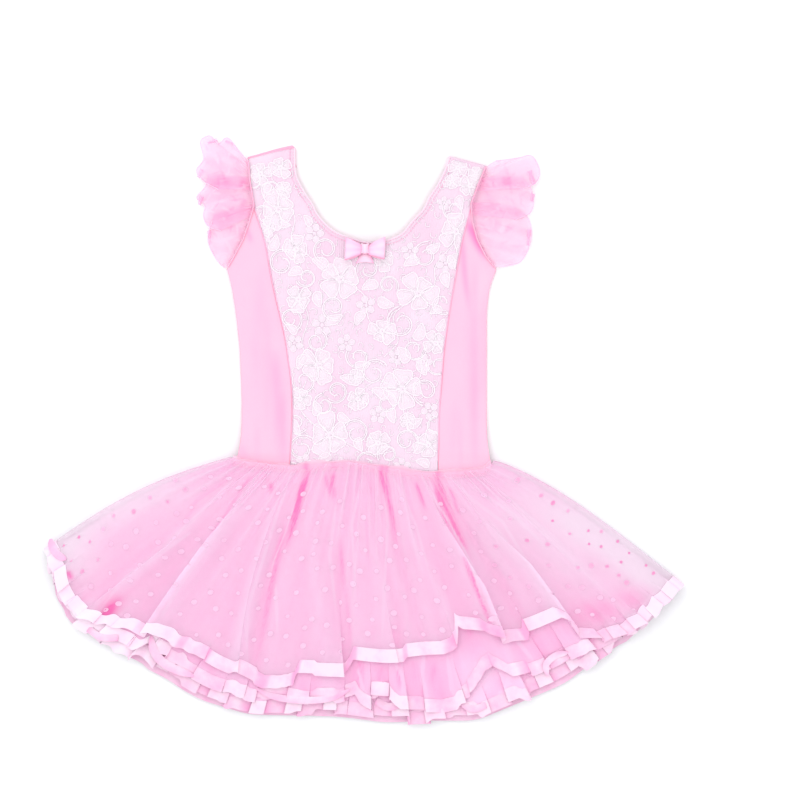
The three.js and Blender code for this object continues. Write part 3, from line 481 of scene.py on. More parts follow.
# Deeper pink where the organza doubles, with painted shade in its valleys and under the petals, and paler
# lines and patches of painted highlight along turned edges and tips, on the sleeves
SLEEVE_DEEP_AND_SHADE_MARKS = [
    ([(-146, 296), (-142, 276), (-140, 256), (-146, 238), (-150, 224)], 15, 0.4),
    ([(-121, 286), (-124, 276)], 3, 0.5), ([(-119, 267), (-124, 256)], 3, 0.6),
    ([(-124, 235), (-118, 222), (-126, 208)], 4, 0.4), ([(-143, 290), (-136, 280)], 4, 0.3),
    ([(-130, 300), (-122, 290)], 4, 0.25), ([(148, 286), (136, 284)], 6, 0.55),
    ([(124, 268), (134, 258)], 4, 0.35), ([(128, 246), (136, 232)], 6, 0.3),
    ([(106, 240), (114, 222), (124, 206)], 4, 0.5), ([(120, 292), (124, 282)], 4, 0.35),
]
SLEEVE_HIGHLIGHT_MARKS = [
    ([(-127, 274), (-118, 281)], 1.6, 0.45), ([(-152, 262), (-136, 266)], 1.6, 0.3),
    ([(-156, 330), (-148, 312)], 5, 0.3), ([(-127, 209), (-118, 221)], 1.4, 0.3),
    ([(-150, 240), (-142, 222)], 1.8, 0.4), ([(120, 290), (130, 276)], 1.6, 0.4),
    ([(138, 262), (144, 250), (138, 236), (128, 230)], 2.2, 0.35),
    ([(116, 232), (123, 216), (133, 204)], 1.8, 0.5), ([(160, 250), (167, 232), (162, 214)], 3.5, 0.4),
    ([(152, 300), (172, 296)], 7, 0.45),
]


def marks(x, y, rows):
    """The sum of soft marks along lines of points, in the dress's millimetres, fading toward their ends."""
    total = np.zeros(np.broadcast(x, y).shape)
    for line, half, strength in rows:
        nearest, along = np.full(total.shape, 1e9), np.zeros(total.shape)
        lengths = [math.dist(a, b) for a, b in zip(line[:-1], line[1:])]
        walked, full = 0, sum(lengths)
        for (ax, ay), (bx, by), length in zip(line[:-1], line[1:], lengths):
            dx, dy = bx - ax, by - ay
            share = np.clip(((x - ax) * dx + (y - ay) * dy) / (dx * dx + dy * dy), 0, 1)
            away = np.hypot(x - ax - share * dx, y - ay - share * dy)
            along = np.where(away < nearest, (walked + share * length) / full, along)
            nearest = np.minimum(nearest, away)
            walked += length
        taper = smooth(-0.15, 0.2, along) * (1 - smooth(0.55, 1.1, along))
        total += strength * taper * np.exp(-((nearest / half) ** 2))
    return total


def streaks(across, share, seed):
    """Fine uneven lines down the cloth, from -1 to 1."""
    rng = np.random.default_rng(seed)
    total = 0
    for count, lean, size in ((60, 0.02, 1.0), (170, 0.012, 0.6), (420, 0.006, 0.25)):
        values = rng.uniform(-1, 1, count + 1)
        tilt = lean * np.sin(across * 23 + count)
        leaned = np.clip(across + tilt * share, 0, 1)
        total = total + size * np.interp(leaned, np.linspace(0, 1, count + 1), values)
    return np.clip(total / 1.4, -1, 1)


def tile_sheen_and_shade(across, edges, seed):
    """Painted sheen and shade of each ribbon length between two laps: paler middle, pinker ends."""
    rng = random.Random(seed)
    edges = sorted([0] + list(edges) + [1])
    tint = np.zeros_like(across)
    for low, high in zip(edges[:-1], edges[1:]):
        inside = (across >= low) & (across <= high)
        u = (across - low) / max(1e-6, high - low)
        tint = np.where(inside, rng.uniform(0.0, 0.25) + 0.5 * np.abs(2 * u - 1) ** rng.uniform(2, 5), tint)
    return tint


# Painted shade where the overlay's ribbon turns under between its lengths: across, half width, strength of
# the shade
RIBBON_FOLD_SHADE = [
    (0.246, 0.006, 0.5), (0.288, 0.004, 0.7), (0.376, 0.01, 0.55), (0.421, 0.006, 0.8), (0.503, 0.007, 0.9),
    (0.586, 0.004, 0.6), (0.664, 0.015, 0.75), (0.731, 0.014, 0.6), (0.782, 0.008, 0.85),
    (0.845, 0.006, 0.6),
]


def front_surface(name, across, down):
    """Plan place, height and creasing of a layer's front."""
    layer = LAYERS[name]
    shift, lapped = lap(across, down, layer["laps"])
    x, y = fan_point(np.clip(across + shift, 0, 1), down)
    z = layer["waist"] + (layer["body"] - layer["waist"]) * smooth(0, 0.3, down)
    z = z - layer["droop"] * smooth(0.55, 1, down) + layer["share"] * fold_height(across, down) + lapped
    ripple = np.sin(across * 260 + 2 * np.sin(across * 61)) * smooth(0.8, 0.97, down)
    z = z + 0.8 * ripple * (1 - smooth(0.2, 0.3, across))
    if name == "overlay":
        z = z + fine_gathers(across, down, 70, SEED, 1.3, 0.5)
        z = z + fine_gathers(across, down, 22, SEED + 5, 1.4, 1.1)
        z = z + 0.25 * np.sin(across * 310 + 3 * np.sin(across * 41)) * (1 - smooth(0.05, 0.25, down))
    return x, y, z


def layer_ring(name, across, rows_down, side):
    """Rows of points of one half of a layer; rows_down gives down for each row and place across."""
    layer = LAYERS[name]
    first, last = layer["inset"], 1 - layer["inset"]
    middle = (layer["floor"] + layer["waist"]) / 2
    if side == "front":
        x, y, z = front_surface(name, across, rows_down)
    else:
        x, y = fan_point(across, rows_down)
        z = np.full_like(x, layer["floor"])
    edge = np.where(across < 0.5, first, last)
    ex, ey = fan_point(edge, rows_down)
    rise = roll(np.hypot(x - ex, y - ey), layer["radius"])
    return x, y, mix(middle, z, rise)


def uneven_hem(name, across):
    """How far each length of a hem between two laps lies in or out, as a share of the way down."""
    depth, count = LAYERS[name]["steps"]
    rng = random.Random(SEED + count)
    places = sorted(rng.random() for _ in range(count))
    offset = np.zeros_like(across)
    level = 0.0
    for spot in places:
        target = rng.uniform(-depth, 0.35 * depth)
        offset = offset + (target - level) * smooth(spot - 0.003, spot + 0.003, across)
        level = target
    return offset * smooth(0, 0.05, across) * (1 - smooth(0.95, 1, across))


def hem_ruffle(name, across):
    """Soft scallops of the hem toward the ends of the fan, as a share of the way down."""
    size, phase = LAYERS[name]["scallops"]
    near_left = smooth(0, 0.02, across) * (1 - smooth(0.2, 0.3, across))
    near_end = near_left + smooth(0.86, 0.9, across) * (1 - smooth(0.97, 1, across))
    wave = np.sin(across * 200 + phase + 2.5 * np.sin(across * 47 + phase))
    return near_end * size * (wave - 1)


def tulle_end(name, across, side):
    layer = LAYERS[name]
    front = read(layer["hem"], 1, across) + uneven_hem(name, across)
    if side == "front":
        hem = front
    else:
        away = np.minimum(across - layer["inset"], 1 - layer["inset"] - across)
        hem = mix(front, layer["back"], smooth(0, 0.06, away))
    return hem + hem_ruffle(name, across) - (RIBBON_WIDTH + SEAM_GAP) / fan_length(across)


def concavity(z, steps):
    """How far each point lies below its neighbours across the skirt."""
    total = np.zeros_like(z)
    for k in steps:
        left = np.roll(z, k, axis=1)
        right = np.roll(z, -k, axis=1)
        total += np.maximum(-1, np.minimum(1, ((left + right) / 2 - z) / (0.25 * k)))
    return total / len(steps)


BACK_COLUMNS = 90


def skirt_layer(name):
    """One layer of tulle with its hem ribbon, each a tube of a front half and a flat back half."""
    layer = LAYERS[name]
    columns, rows = layer["mesh"]
    first, last = layer["inset"], 1 - layer["inset"]
    across = np.linspace(first, last, columns)
    back_across = np.linspace(first, last, BACK_COLUMNS)[1:-1]
    share = np.linspace(0, 1, rows)[:, None] ** 0.9

    def halves(front_down, back_down):
        a = np.broadcast_to(across, front_down.shape)
        b = np.broadcast_to(back_across, back_down.shape)
        fx, fy, fz = layer_ring(name, a, front_down, "front")
        bx, by, bz = layer_ring(name, b, back_down, "back")
        rings = [np.concatenate([f, b[:, ::-1]], axis=1) for f, b in ((fx, bx), (fy, by), (fz, bz))]
        return place(*rings), fz

    front_end = tulle_end(name, across, "front")
    back_end = tulle_end(name, back_across, "back")
    points, fz = halves(share * front_end, share * back_end)
    plan_x, plan_y = points[..., 0] / MM - SHIFT_X, points[..., 1] / MM - SHIFT_Y
    tint = np.full(points.shape[:2], 0.15)
    # Painted shade: deeper pink in the hollows between the folds
    deep = concavity(fz, (3, 7, 14))
    tint[:, :columns] += 0.17 * deep
    streak = np.zeros(points.shape[:2])
    streak[:, :columns] = streaks(across, share, columns)
    rough = np.random.default_rng(SEED + columns).uniform(0.5, 1.4, points.shape[:2])
    uneven = np.clip(0.9 + streak, 0, 2)
    tint += layer["marks"] * marks(plan_x, plan_y, DEEP_PINK_AND_SHADE_MARKS) * rough * uneven + 0.05 * streak
    tint -= marks(plan_x, plan_y, FOLD_HIGHLIGHT_MARKS if name == "overlay" else LOWER_FOLD_HIGHLIGHT_MARKS)
    doubled = marks(plan_x, plan_y, END_MARKS)
    tint += layer["marks"] * doubled * uneven
    pale = np.clip(marks(plan_x, plan_y, SHEER_MARKS) - 1.2 * doubled, 0, 0.85)
    tulle = grid_object(f"tulle_{name}", points, layer["material"], np.clip(tint, -0.2, 0.95), True, pale)
    belongs(tulle, f"tulle_{name}", f"skirt_{name}")

    length = fan_length(across)
    back_length = fan_length(back_across)
    steps = np.linspace(-1.2, RIBBON_WIDTH, 7)[:, None]
    ribbon_points, rz = halves(front_end + steps / length, back_end + steps / back_length)
    ribbon_points[..., 2] += 0.25 * MM
    ribbon_tint = np.zeros(ribbon_points.shape[:2])
    # Painted sheen in the middle of each length of ribbon, painted shade toward its ends
    tile_shading = tile_sheen_and_shade(across, [row[0] for row in layer["laps"] if row[7] > 0.4], SEED + columns)
    overlay = name == "overlay"
    if overlay:
        ends = 0.3 * (1 - smooth(0.1, 0.2, across)) + 0.3 * smooth(0.84, 0.92, across)
    else:
        ends = 0.22 - 0.3 * (1 - smooth(0.1, 0.3, across))
    # Painted shade in the ribbon's hollows is added to its painted sheen and shade
    ribbon_tint[:, :columns] = np.clip(tile_shading + ends + 0.4 * concavity(rz, (3, 8)), 0, 1)
    # Painted shade where the ribbon turns under
    for spot, half, strength in RIBBON_FOLD_SHADE if overlay else ():
        ribbon_tint[:, :columns] += strength * np.exp(-(((across - spot) / half) ** 4))
    ribbon_tint[:, columns:] = 0.5
    ribbon_pale = np.zeros(ribbon_points.shape[:2])
    ribbon_pale[:, :columns] = 0.6 * (1 - smooth(0.12, 0.26, across)) + 0.55 * smooth(0.88, 0.95, across)
    ribbon = grid_object(f"ribbon_{name}_satin", ribbon_points, SATIN_PAINTED_SHEEN, np.clip(ribbon_tint, 0, 1.1), True,
                         ribbon_pale)
    belongs(ribbon, "satin_ribbon", f"ribbon_{name}")
    return tulle, np.concatenate([part[:, :columns].reshape(-1, 3) for part in (points, ribbon_points)])


# Sheets of the skirt and the points of their fronts, by layer
SKIRT, SURFACES = {}, {}
for layer_name in LAYERS:
    SKIRT[layer_name], SURFACES[layer_name] = skirt_layer(layer_name)

# Lengths of hem ribbon that have turned over: layer that they lie on, width, pinkness, line of points
RIBBON_CURLS = [
    ("middle", 9, 0.45, [(-212, -170), (-210, -184), (-201, -197), (-187, -205), (-170, -211)]),
    ("middle", 7, 0.4, [(-108, -223), (-92, -231), (-64, -235), (-34, -233), (-14, -224)]),
    ("middle", 7, 0.3, [(204, -187), (191, -191), (182, -200), (184, -211)]),
    ("middle", 14, 0.05, [(7, -223), (16, -223.5), (25, -224)]),
    ("under", 8, 0.5, [(12, -236), (24, -242), (38, -238)]),
    ("under", 8, 0.45, [(42, -234), (52, -243), (64, -240)]),
    ("overlay", 8, 0.55, [(-314, -74), (-311, -82), (-305, -90), (-297, -94)]),
    ("middle", 7, 0.35, [(-276, -164), (-262, -172), (-246, -173)]),
    ("under", 7, 0.4, [(96, -236), (108, -244), (122, -240)]),
]


def height_over(name, x, y, reach=3.0):
    """Highest point of a layer near each place in the dress's millimetres."""
    surface = SURFACES[name]
    plan_x, plan_y, height = surface[:, 0] / MM - SHIFT_X, surface[:, 1] / MM - SHIFT_Y, surface[:, 2] / MM
    out = np.zeros(np.shape(x))
    for spot in np.ndindex(out.shape):
        near = np.hypot(plan_x - x[spot], plan_y - y[spot])
        out[spot] = height[near < max(reach, near.min() + 0.1)].max()
    return out


def ribbon_curls():
    """Turned lengths of hem ribbon, each with one edge raised, as one piece."""
    parts, tints = [], []
    for name, width, pinkness, line in RIBBON_CURLS:
        path = curve_points(line, 30)
        ahead = np.gradient(path, axis=0)
        ahead /= np.linalg.norm(ahead, axis=1, keepdims=True)
        wide = np.linspace(-0.5, 0.5, 7)[:, None]
        u = np.linspace(-1, 1, 30)
        taper = width * (1 - (0.75 if len(line) > 3 else 0.1) * np.abs(u) ** 4)
        x = path[:, 0] - ahead[:, 1] * wide * taper
        y = path[:, 1] + ahead[:, 0] * wide * taper
        base = height_over(name, path[:, 0], path[:, 1])
        base = np.convolve(np.pad(base, 4, mode="edge"), np.full(9, 1 / 9), mode="valid")
        z = base + 0.5 + 0.25 * np.cos(math.pi * wide) - 0.9 * wide
        parts.append((np.stack([x, y, z], axis=-1).reshape(-1, 3), grid_faces(*x.shape)))
        # Painted shade: pinker toward each curl's ends and its raised edge
        tints.append((pinkness + 0.35 * np.abs(u) ** 3 - 0.25 * wide + 0 * x).ravel())
    return joined("ribbon_curls", parts, SATIN_PAINTED_SHEEN, np.clip(np.concatenate(tints), 0, 1))


DOT_TRIES, DOT_SIDES = 20000, 10


def dotted(name, side, count, seed):
    """Small flocked discs that lie on one half of the overlay."""
    rng = random.Random(seed)
    spots = []
    for _ in range(DOT_TRIES):
        if len(spots) == count:
            break
        a, d = rng.uniform(0.01, 0.99), rng.uniform(0.04, 0.99) ** 0.7
        if d > float(tulle_end("overlay", np.array([a]), side)[0]) - 0.02:
            continue
        x, y = fan_point(np.array([a]), np.array([d]))
        if all(math.hypot(x[0] - px, y[0] - py) > rng.uniform(10, 20) for _, _, px, py in spots):
            spots.append((a, d, x[0], y[0]))
    points, faces, tints = [], [], []
    for a, d, _, _ in spots:
        step_a = 1 / (264 + 500 * d)
        step_d = 1 / float(fan_length(np.array([a]))[0])
        sheer = float(marks(*fan_point(np.array([a]), np.array([d])), SHEER_MARKS)[0])
        radius = mix(2.7, 1.7, min(1, sheer)) * rng.uniform(0.7, 1.12)
        turn = [2 * math.pi * k / DOT_SIDES for k in range(DOT_SIDES)]
        aa = np.array([a] + [a + radius * math.cos(t) * step_a for t in turn])
        dd = np.array([d] + [d + radius * math.sin(t) * step_d for t in turn])
        x, y, z = layer_ring("overlay", np.clip(aa, 0, 1), dd, side)
        base = len(points)
        points.extend(place(x, y, z + (0.15 if side == "front" else -0.2)))
        tints.extend([min(1, 0.03 + 1.9 * sheer * rng.uniform(0.3, 1))] * (DOT_SIDES + 1))
        faces.extend([base, base + 1 + k, base + 1 + (k + 1) % DOT_SIDES] for k in range(DOT_SIDES))
    belongs(make_mesh(name, np.array(points), np.array(faces), DOTS, np.array(tints)), "tulle_overlay")


dotted("dots_front", "front", 205, SEED + 11)
dotted("dots_back", "back", 170, SEED + 12)


# Front seams, outer edges and armholes of the bodice, as y and x
LEFT_SEAM = [
    (-9, -74), (5, -74), (25, -73), (45, -72), (65, -72), (85, -73), (105, -76), (125, -78.5), (145, -83),
    (165, -88), (185, -92.5), (205, -96), (222, -99), (260, -111), (284, -115), (307, -117),
]
RIGHT_SEAM = [
    (-16, 74), (-7, 74), (10, 74), (26, 75), (46, 75), (75, 77), (115, 80), (150, 85), (185, 91), (224, 98),
    (262, 108), (281, 115), (300, 123),
]
LEFT_EDGE = [
    (-5, -129.5), (8, -127), (22, -124), (36, -123), (70, -123), (117, -125), (153, -129), (179, -133),
    (197, -138),
]
RIGHT_EDGE = [
    (-12, 128.5), (2, 127), (18, 124), (36, 123), (70, 123), (117, 123), (153, 123), (179, 126), (196, 133),
]
LEFT_ARMHOLE = [(197, -138), (211, -130), (226, -122), (243, -116), (260, -111)]
RIGHT_ARMHOLE = [(196, 133), (210, 122), (226, 114), (244, 109), (262, 108)]
# Neckline and shoulders, as x and y
NECKLINE = [
    (-69, 318), (-68, 293), (-60, 275), (-52, 263), (-46, 251), (-35, 239), (-26, 233), (-9, 227), (3, 224),
    (14, 225), (26, 227), (38, 233), (48, 245), (59, 257), (65, 269), (73, 281), (80, 295), (85, 310),
]
LEFT_SHOULDER = [(-117, 307), (-101, 311), (-85, 315), (-69, 318)]
RIGHT_SHOULDER = [(85, 310), (104, 305), (123, 300)]
# Soft upright folds of the side panels: x, from, to, rise, spread
BODICE_FOLDS = [
    (-86, -20, 95, 1.3, 5), (-104, 20, 170, 0.9, 6), (-113, -20, 60, 0.9, 5), (104, -20, 215, 1.3, 6),
    (92, -20, 60, 1, 4), (114, 60, 190, 0.8, 5),
]
FOLD_FADE = 40


def curve_points(points, count):
    """A smooth line through the points, evenly spaced."""
    p = np.array(points, float)
    padded = np.vstack([2 * p[0] - p[1], p, 2 * p[-1] - p[-2]])
    fine = []
    for k in range(1, len(padded) - 2):
        for t in np.linspace(0, 1, 24, endpoint=False):
            a, b, c, d = padded[k - 1 : k + 3]
            fine.append(0.5 * (2 * b + (c - a) * t + (2 * a - 5 * b + 4 * c - d) * t**2
                               + (3 * b - a - 3 * c + d) * t**3))
    fine.append(p[-1])
    fine = np.array(fine)
    walked = np.concatenate([[0], np.cumsum(np.hypot(*np.diff(fine, axis=0).T))])
    even = np.linspace(0, walked[-1], count)
    return np.stack([np.interp(even, walked, fine[:, 0]), np.interp(even, walked, fine[:, 1])], axis=-1)


def soft_x(table, y):
    return read_soft(table, 1, y, 8)


def back_height(y):
    return 4.8 * np.clip((44 - np.asarray(y, float)) / 34, 0, 1)


def fold_ends(start, end, y):
    """How much of a side panel's fold shows at each y, from 0 at its ends."""
    return smooth(start, start + FOLD_FADE, y) * (1 - smooth(end - FOLD_FADE, end, y))


def front_height(x, y):
    """Underside of the bodice's front, as the solids have it."""
    x, y = np.asarray(x, float), np.asarray(y, float)
    loft = 2.4 * smooth(10, 44, y) * (1 - smooth(276, 306, y))
    lift = 0.1 + smooth(6, 14, y) * (1 - smooth(44, 64, y))
    folds = 0
    for fx, start, end, rise, spread in BODICE_FOLDS:
        ends = fold_ends(start, end, y)
        folds = folds + rise * np.exp(-(((x - fx) / spread) ** 2)) * ends * smooth(6, 30, y)
    away = roll(np.minimum(x - read(LEFT_EDGE, 1, y), read(RIGHT_EDGE, 1, y) - x), 12)
    return back_height(y) + WALL + SEAM_GAP + lift + (loft + folds) * away


def panel(left, right, top, bottom, rows, width_share=0.5):
    """Plan points of a panel between two side lines, from its bottom edge up to its top edge."""
    top = np.asarray(top)
    left_x, right_x = left(top[:, 1]), right(top[:, 1])
    shares = np.clip((top[:, 0] - left_x) / np.maximum(1e-6, right_x - left_x), 0, 1)
    shares[0], shares[-1] = 0, 1
    count = len(top)
    station = np.linspace(0, 1, rows)[:, None]
    start = mix(np.arange(count) / (count - 1), shares, width_share)
    share = mix(start, shares, station**2)
    low = bottom(mix(left(0), right(0), share))
    y = mix(low, top[:, 1], station)
    return mix(left(y), right(y), share), y


def waist_y(x):
    return read(WAIST_LINE, 1, x)


neck = curve_points(NECKLINE, 150)
front_top = np.vstack([curve_points(LEFT_SHOULDER, 22)[:-1], neck, curve_points(RIGHT_SHOULDER, 18)[1:]])


def crease(x, y, seed, size):
    """A soft uneven surface."""
    a = np.sin(x * 0.071 + seed) * np.sin(y * 0.043 + 2 * seed)
    b = np.sin(x * 0.13 - y * 0.05 + 3 * seed) * np.sin(y * 0.021 + seed)
    return size * (a + 0.6 * b)


belongs(ribbon_curls(), "satin_ribbon")


def front_panel(below):
    """Plan points of the front between its seams, down to a distance below the waist line."""
    return panel(lambda y: soft_x(LEFT_SEAM, y) + 0.15, lambda y: soft_x(RIGHT_SEAM, y) - 0.15, front_top,
                 lambda x: waist_y(x) - below, 150)


gx, gy = front_panel(8)
gz = front_height(gx, gy) + WALL
front = grid_object("front_jersey", place(gx, gy, gz), JERSEY, np.full(gx.shape, 0.25))
belongs(thicken(front, JERSEY_SHOWN), "stretch_cloth", "bodice_front")


def lace_height(x, y):
    """Top of the lace, which is sewn down along the front seams."""
    x, y = np.asarray(x, float), np.asarray(y, float)
    sewn = np.minimum(x - soft_x(LEFT_SEAM, y), soft_x(RIGHT_SEAM, y) - x)
    lift = 0.9 + crease(x, y, 1.3, 0.25) - 0.8 * np.exp(-((sewn / 4) ** 2))
    return front_height(x, y) + WALL + SEAM_GAP + lift


lx, ly = front_panel(0.6)
lace = grid_object("lace_net", place(lx, ly, lace_height(lx, ly)), LACE_GROUND,
                   np.clip(0.3 + crease(lx, ly, 0.6, 0.2), 0, 1))
belongs(thicken(lace, LACE_SHOWN), "lace", "bodice_lace")

# Soft shade where the side panels turn, fold and meet the sleeves
SIDE_MARKS = [
    ([(-90, 110), (-86, 60), (-84, 4)], 6, 0.3), ([(-102, 190), (-108, 120), (-106, 40)], 7, 0.1),
    ([(98, 228), (101, 190), (106, 150)], 3.5, 0.4), ([(106, 150), (110, 80), (106, 10)], 7, 0.14),
    ([(104, 244), (112, 226), (124, 204)], 4.5, 0.85), ([(92, 60), (88, 4)], 6, 0.1),
    ([(-118, 236), (-112, 222)], 3, 0.35), ([(-124, 20), (-118, 4)], 5, 0.15),
    ([(120, 196), (116, 150)], 5, -0.08),
]


def side_panel(side):
    """A side panel of the bodice, from its front seam round to its outer edge."""
    left, sign = side == "left", SIGNS[side]
    edge, seam, armhole = ((LEFT_EDGE, LEFT_SEAM, LEFT_ARMHOLE) if left
                           else (RIGHT_EDGE, RIGHT_SEAM, RIGHT_ARMHOLE))
    top = curve_points([(x, y) for y, x in armhole], 46)
    outer = lambda y: soft_x(edge, y)
    inner = lambda y: soft_x(seam, y) + sign * 0.15
    if not left:
        top = top[::-1]
    lines = (outer, inner) if left else (inner, outer)
    x, y = panel(*lines, top, lambda v: waist_y(v) - 8, 110, 0)
    z = front_height(x, y) + WALL + crease(x, y, 2.2 if left else 3.1, 0.3) * smooth(10, 40, y)
    near = np.minimum(np.abs(x - inner(y)), np.abs(x - outer(y)))
    # Painted shade: a little deeper pink near the seam and the outer edge, where the panel turns
    tint = 0.07 + 0.04 * np.exp(-near / 3) + marks(x, y, SIDE_MARKS)
    # Painted shade on one side of each fold
    for fx, start, end, rise, spread in BODICE_FOLDS:
        ends = fold_ends(start, end, y)
        tint = tint + 0.1 * rise * np.exp(-(((x - fx - spread * 1.2) / (spread * 0.7)) ** 2)) * ends
    obj = grid_object(f"side_jersey_{side}", place(x, y, z), JERSEY, np.clip(tint, 0, 1))
    belongs(thicken(obj, JERSEY_SHOWN), "stretch_cloth", f"bodice_side_{side}")
    return obj


side_left, side_right = side_panel("left"), side_panel("right")


def edge_with_armhole(edge, armhole, seam):
    rows = edge + armhole[1:] + [row for row in seam if row[0] > armhole[-1][0]]
    return lambda y: read(rows, 1, y)


# The bodice's outer lines with the armholes, as x at each y
ARMS = {"left": edge_with_armhole(LEFT_EDGE, LEFT_ARMHOLE, LEFT_SEAM),
        "right": edge_with_armhole(RIGHT_EDGE, RIGHT_ARMHOLE, RIGHT_SEAM)}
back_top = np.vstack([
    curve_points([(-117, 309), (-101, 313.5), (-85, 318), (-69, 321.5)], 16)[:-1],
    neck + np.array([0, -3.5]) * (neck[:, 1:] < 300),
    curve_points([(85, 308), (104, 304), (123, 300)], 14)[1:],
])
bx, by = panel(ARMS["left"], ARMS["right"], back_top, lambda x: np.interp(x, (-122, 120), (-5, -12)), 110)
back_points = place(bx, by, back_height(by) + WALL)
back = grid_object("back_jersey", back_points, JERSEY_BACK, np.full(bx.shape, 0.1))
belongs(thicken(back, JERSEY_SHOWN), "stretch_cloth", "bodice_back")


def waist_ruffle(low, high, columns=420):
    """The overlay's gathered top edge, turned up over the end of the bodice."""
    x = np.linspace(low, high, columns)
    rng = random.Random(SEED + 21)
    rise, pleat = np.full(columns, 3.0), np.zeros(columns)
    for _ in range(16):
        rise += rng.uniform(-1.8, 1.8) * np.exp(-(((x - rng.uniform(low, high)) / rng.uniform(5, 18)) ** 2))
    for _ in range(46):
        spot, width = rng.uniform(low, high), rng.uniform(1.5, 5)
        rise += rng.uniform(-0.6, 0.6) * np.exp(-(((x - spot) / width) ** 2))
        pleat += rng.uniform(0.1, 0.6) * np.exp(-(((x - spot) / width) ** 2))
    rise = np.clip(rise, 0.8, 6)
    base = front_height(x, waist_y(x)) + 1.4 + 1.4 * smooth(-78, -72, x) * (1 - smooth(72, 78, x))
    steps = [(-7, 12.0), (-3.5, 13.4), (-1.2, 14.2), (0.2, 13.6)]
    y = np.array([waist_y(x) + step for step, _ in steps]
                 + [waist_y(x) + mix(0.2, rise, t) for t in (0.4, 0.75, 1)])
    z = np.array([np.full(columns, height) for _, height in steps]
                 + [mix(13.6, base, t) for t in (0.4, 0.8, 1)])
    z[1:4] += pleat
    plan_x = np.broadcast_to(x, y.shape)
    # Deeper pink and painted shade where gathers bunch, painted shade in the pleats' hollows, and painted
    # light that makes the turned-up top rows paler toward the edge
    bunched_pink_and_shade = marks(plan_x, y - np.linspace(5, 14, 7)[:, None], DEEP_PINK_AND_SHADE_MARKS)
    tint = 0.16 + 0.1 * concavity(z, (3, 6)) + 0.9 * bunched_pink_and_shade
    tint = tint - np.array([0, 0, 0, 0, 0.15, 0.35, 0.5])[:, None]
    pale = np.broadcast_to(np.array([0, 0, 0, 0.05, 0.15, 0.3, 0.4])[:, None], tint.shape)
    points = place(plan_x, y, z)
    return grid_object("waist_ruffle", points, WAIST_TULLE, np.clip(tint, -0.3, 0.8), pale=pale)


belongs(waist_ruffle(-131, 127), "tulle_overlay")


def tube(points, radius, sides=4, closed=False):
    """Points and faces of a thin cord along a line of points in millimetres, lying on the cloth."""
    p = np.asarray(points, float)
    n = len(p)
    ahead = np.roll(p, -1, axis=0) - np.roll(p, 1, axis=0)
    if not closed:
        ahead[0], ahead[-1] = p[1] - p[0], p[-1] - p[-2]
    ahead /= np.maximum(1e-9, np.linalg.norm(ahead, axis=1, keepdims=True))
    across = np.cross(ahead, (0, 0, 1))
    across /= np.maximum(1e-9, np.linalg.norm(across, axis=1, keepdims=True))
    up = np.cross(across, ahead)
    turn = np.linspace(-0.15 * math.pi, 1.15 * math.pi, sides)
    ring = p[:, None] + radius * (np.cos(turn)[None, :, None] * across[:, None]
                                  + np.sin(turn)[None, :, None] * up[:, None])
    verts = ring.reshape(-1, 3)
    faces = []
    for i in range(n if closed else n - 1):
        j = (i + 1) % n
        for k in range(sides - 1):
            faces.append((i * sides + k, i * sides + k + 1, j * sides + k + 1, j * sides + k))
    return verts, np.array(faces).reshape(-1, 4)


# Lace: generic flowers, berries, leaves and scrolls in raised cord on a fine net
cords, fills = [], []


def in_lace(x, y, margin=1.2):
    top = np.interp(x, front_top[:, 0], front_top[:, 1])
    return ((x > soft_x(LEFT_SEAM, y) + margin) & (x < soft_x(RIGHT_SEAM, y) - margin)
            & (y < top - margin - 1.5) & (y > waist_y(x) + 1.5))


def cord_line(points, radius, closed=False, lift=0.35):
    """A raised cord along a line of points, left out where it would leave the lace."""
    p = np.asarray(points, float)
    inside = in_lace(p[:, 0], p[:, 1])
    z = lace_height(p[:, 0], p[:, 1]) + lift
    line = np.column_stack([p, z])
    if inside.all():
        cords.append(tube(line, radius, closed=closed))
        return
    if closed:
        line = np.vstack([line, line[:1]])
        inside = np.append(inside, inside[0])
    run = []
    for point, ok in zip(line, inside):
        if ok:
            run.append(point)
        if not ok or point is line[-1]:
            if len(run) > 2:
                cords.append(tube(np.array(run), radius))
            run = []
    if len(run) > 2:
        cords.append(tube(np.array(run), radius))


def fill_shape(outline, dome=0.55):
    """A closed shape of close stitches, domed a little above the net."""
    p = np.asarray(outline, float)
    centre = p.mean(axis=0)
    if not in_lace(centre[0], centre[1]):
        return
    for share in (0.88, 0.76, 0.62, 0.48, 0.32, 0.16):
        inside = in_lace(p[:, 0], p[:, 1])
        p = np.where(inside[:, None], p, centre + (np.asarray(outline) - centre) * share)
    rings = (1.0, 0.72, 0.4)
    verts, faces, n = [], [], len(p)
    for share in rings:
        q = centre + (p - centre) * share
        height = lace_height(q[:, 0], q[:, 1]) + 0.15 + dome * (1 - share**2)
        verts.append(np.column_stack([q, height]))
    verts = np.concatenate(verts + [[[*centre, float(lace_height(centre[0], centre[1])) + 0.15 + dome]]])
    last = len(verts) - 1
    for r in range(len(rings) - 1):
        for k in range(n):
            faces.append((r * n + k, r * n + (k + 1) % n, (r + 1) * n + (k + 1) % n, (r + 1) * n + k))
    base = (len(rings) - 1) * n
    for k in range(0, n - 1, 2):
        faces.append((base + k, base + k + 1, base + (k + 2) % n, last))
    fills.append((verts, np.array(faces)))


def turned(points, x, y, angle, size=1.0):
    c, s = math.cos(angle), math.sin(angle)
    p = np.asarray(points, float) * size
    return np.column_stack([x + p[:, 0] * c - p[:, 1] * s, y + p[:, 0] * s + p[:, 1] * c])


def oval(size, wide, high, count):
    """Points round an oval whose half width and half height are shares of a size."""
    return np.array([(math.cos(t) * size * wide, math.sin(t) * size * high)
                     for t in np.linspace(0, 2 * math.pi, count + 1)[:-1]])


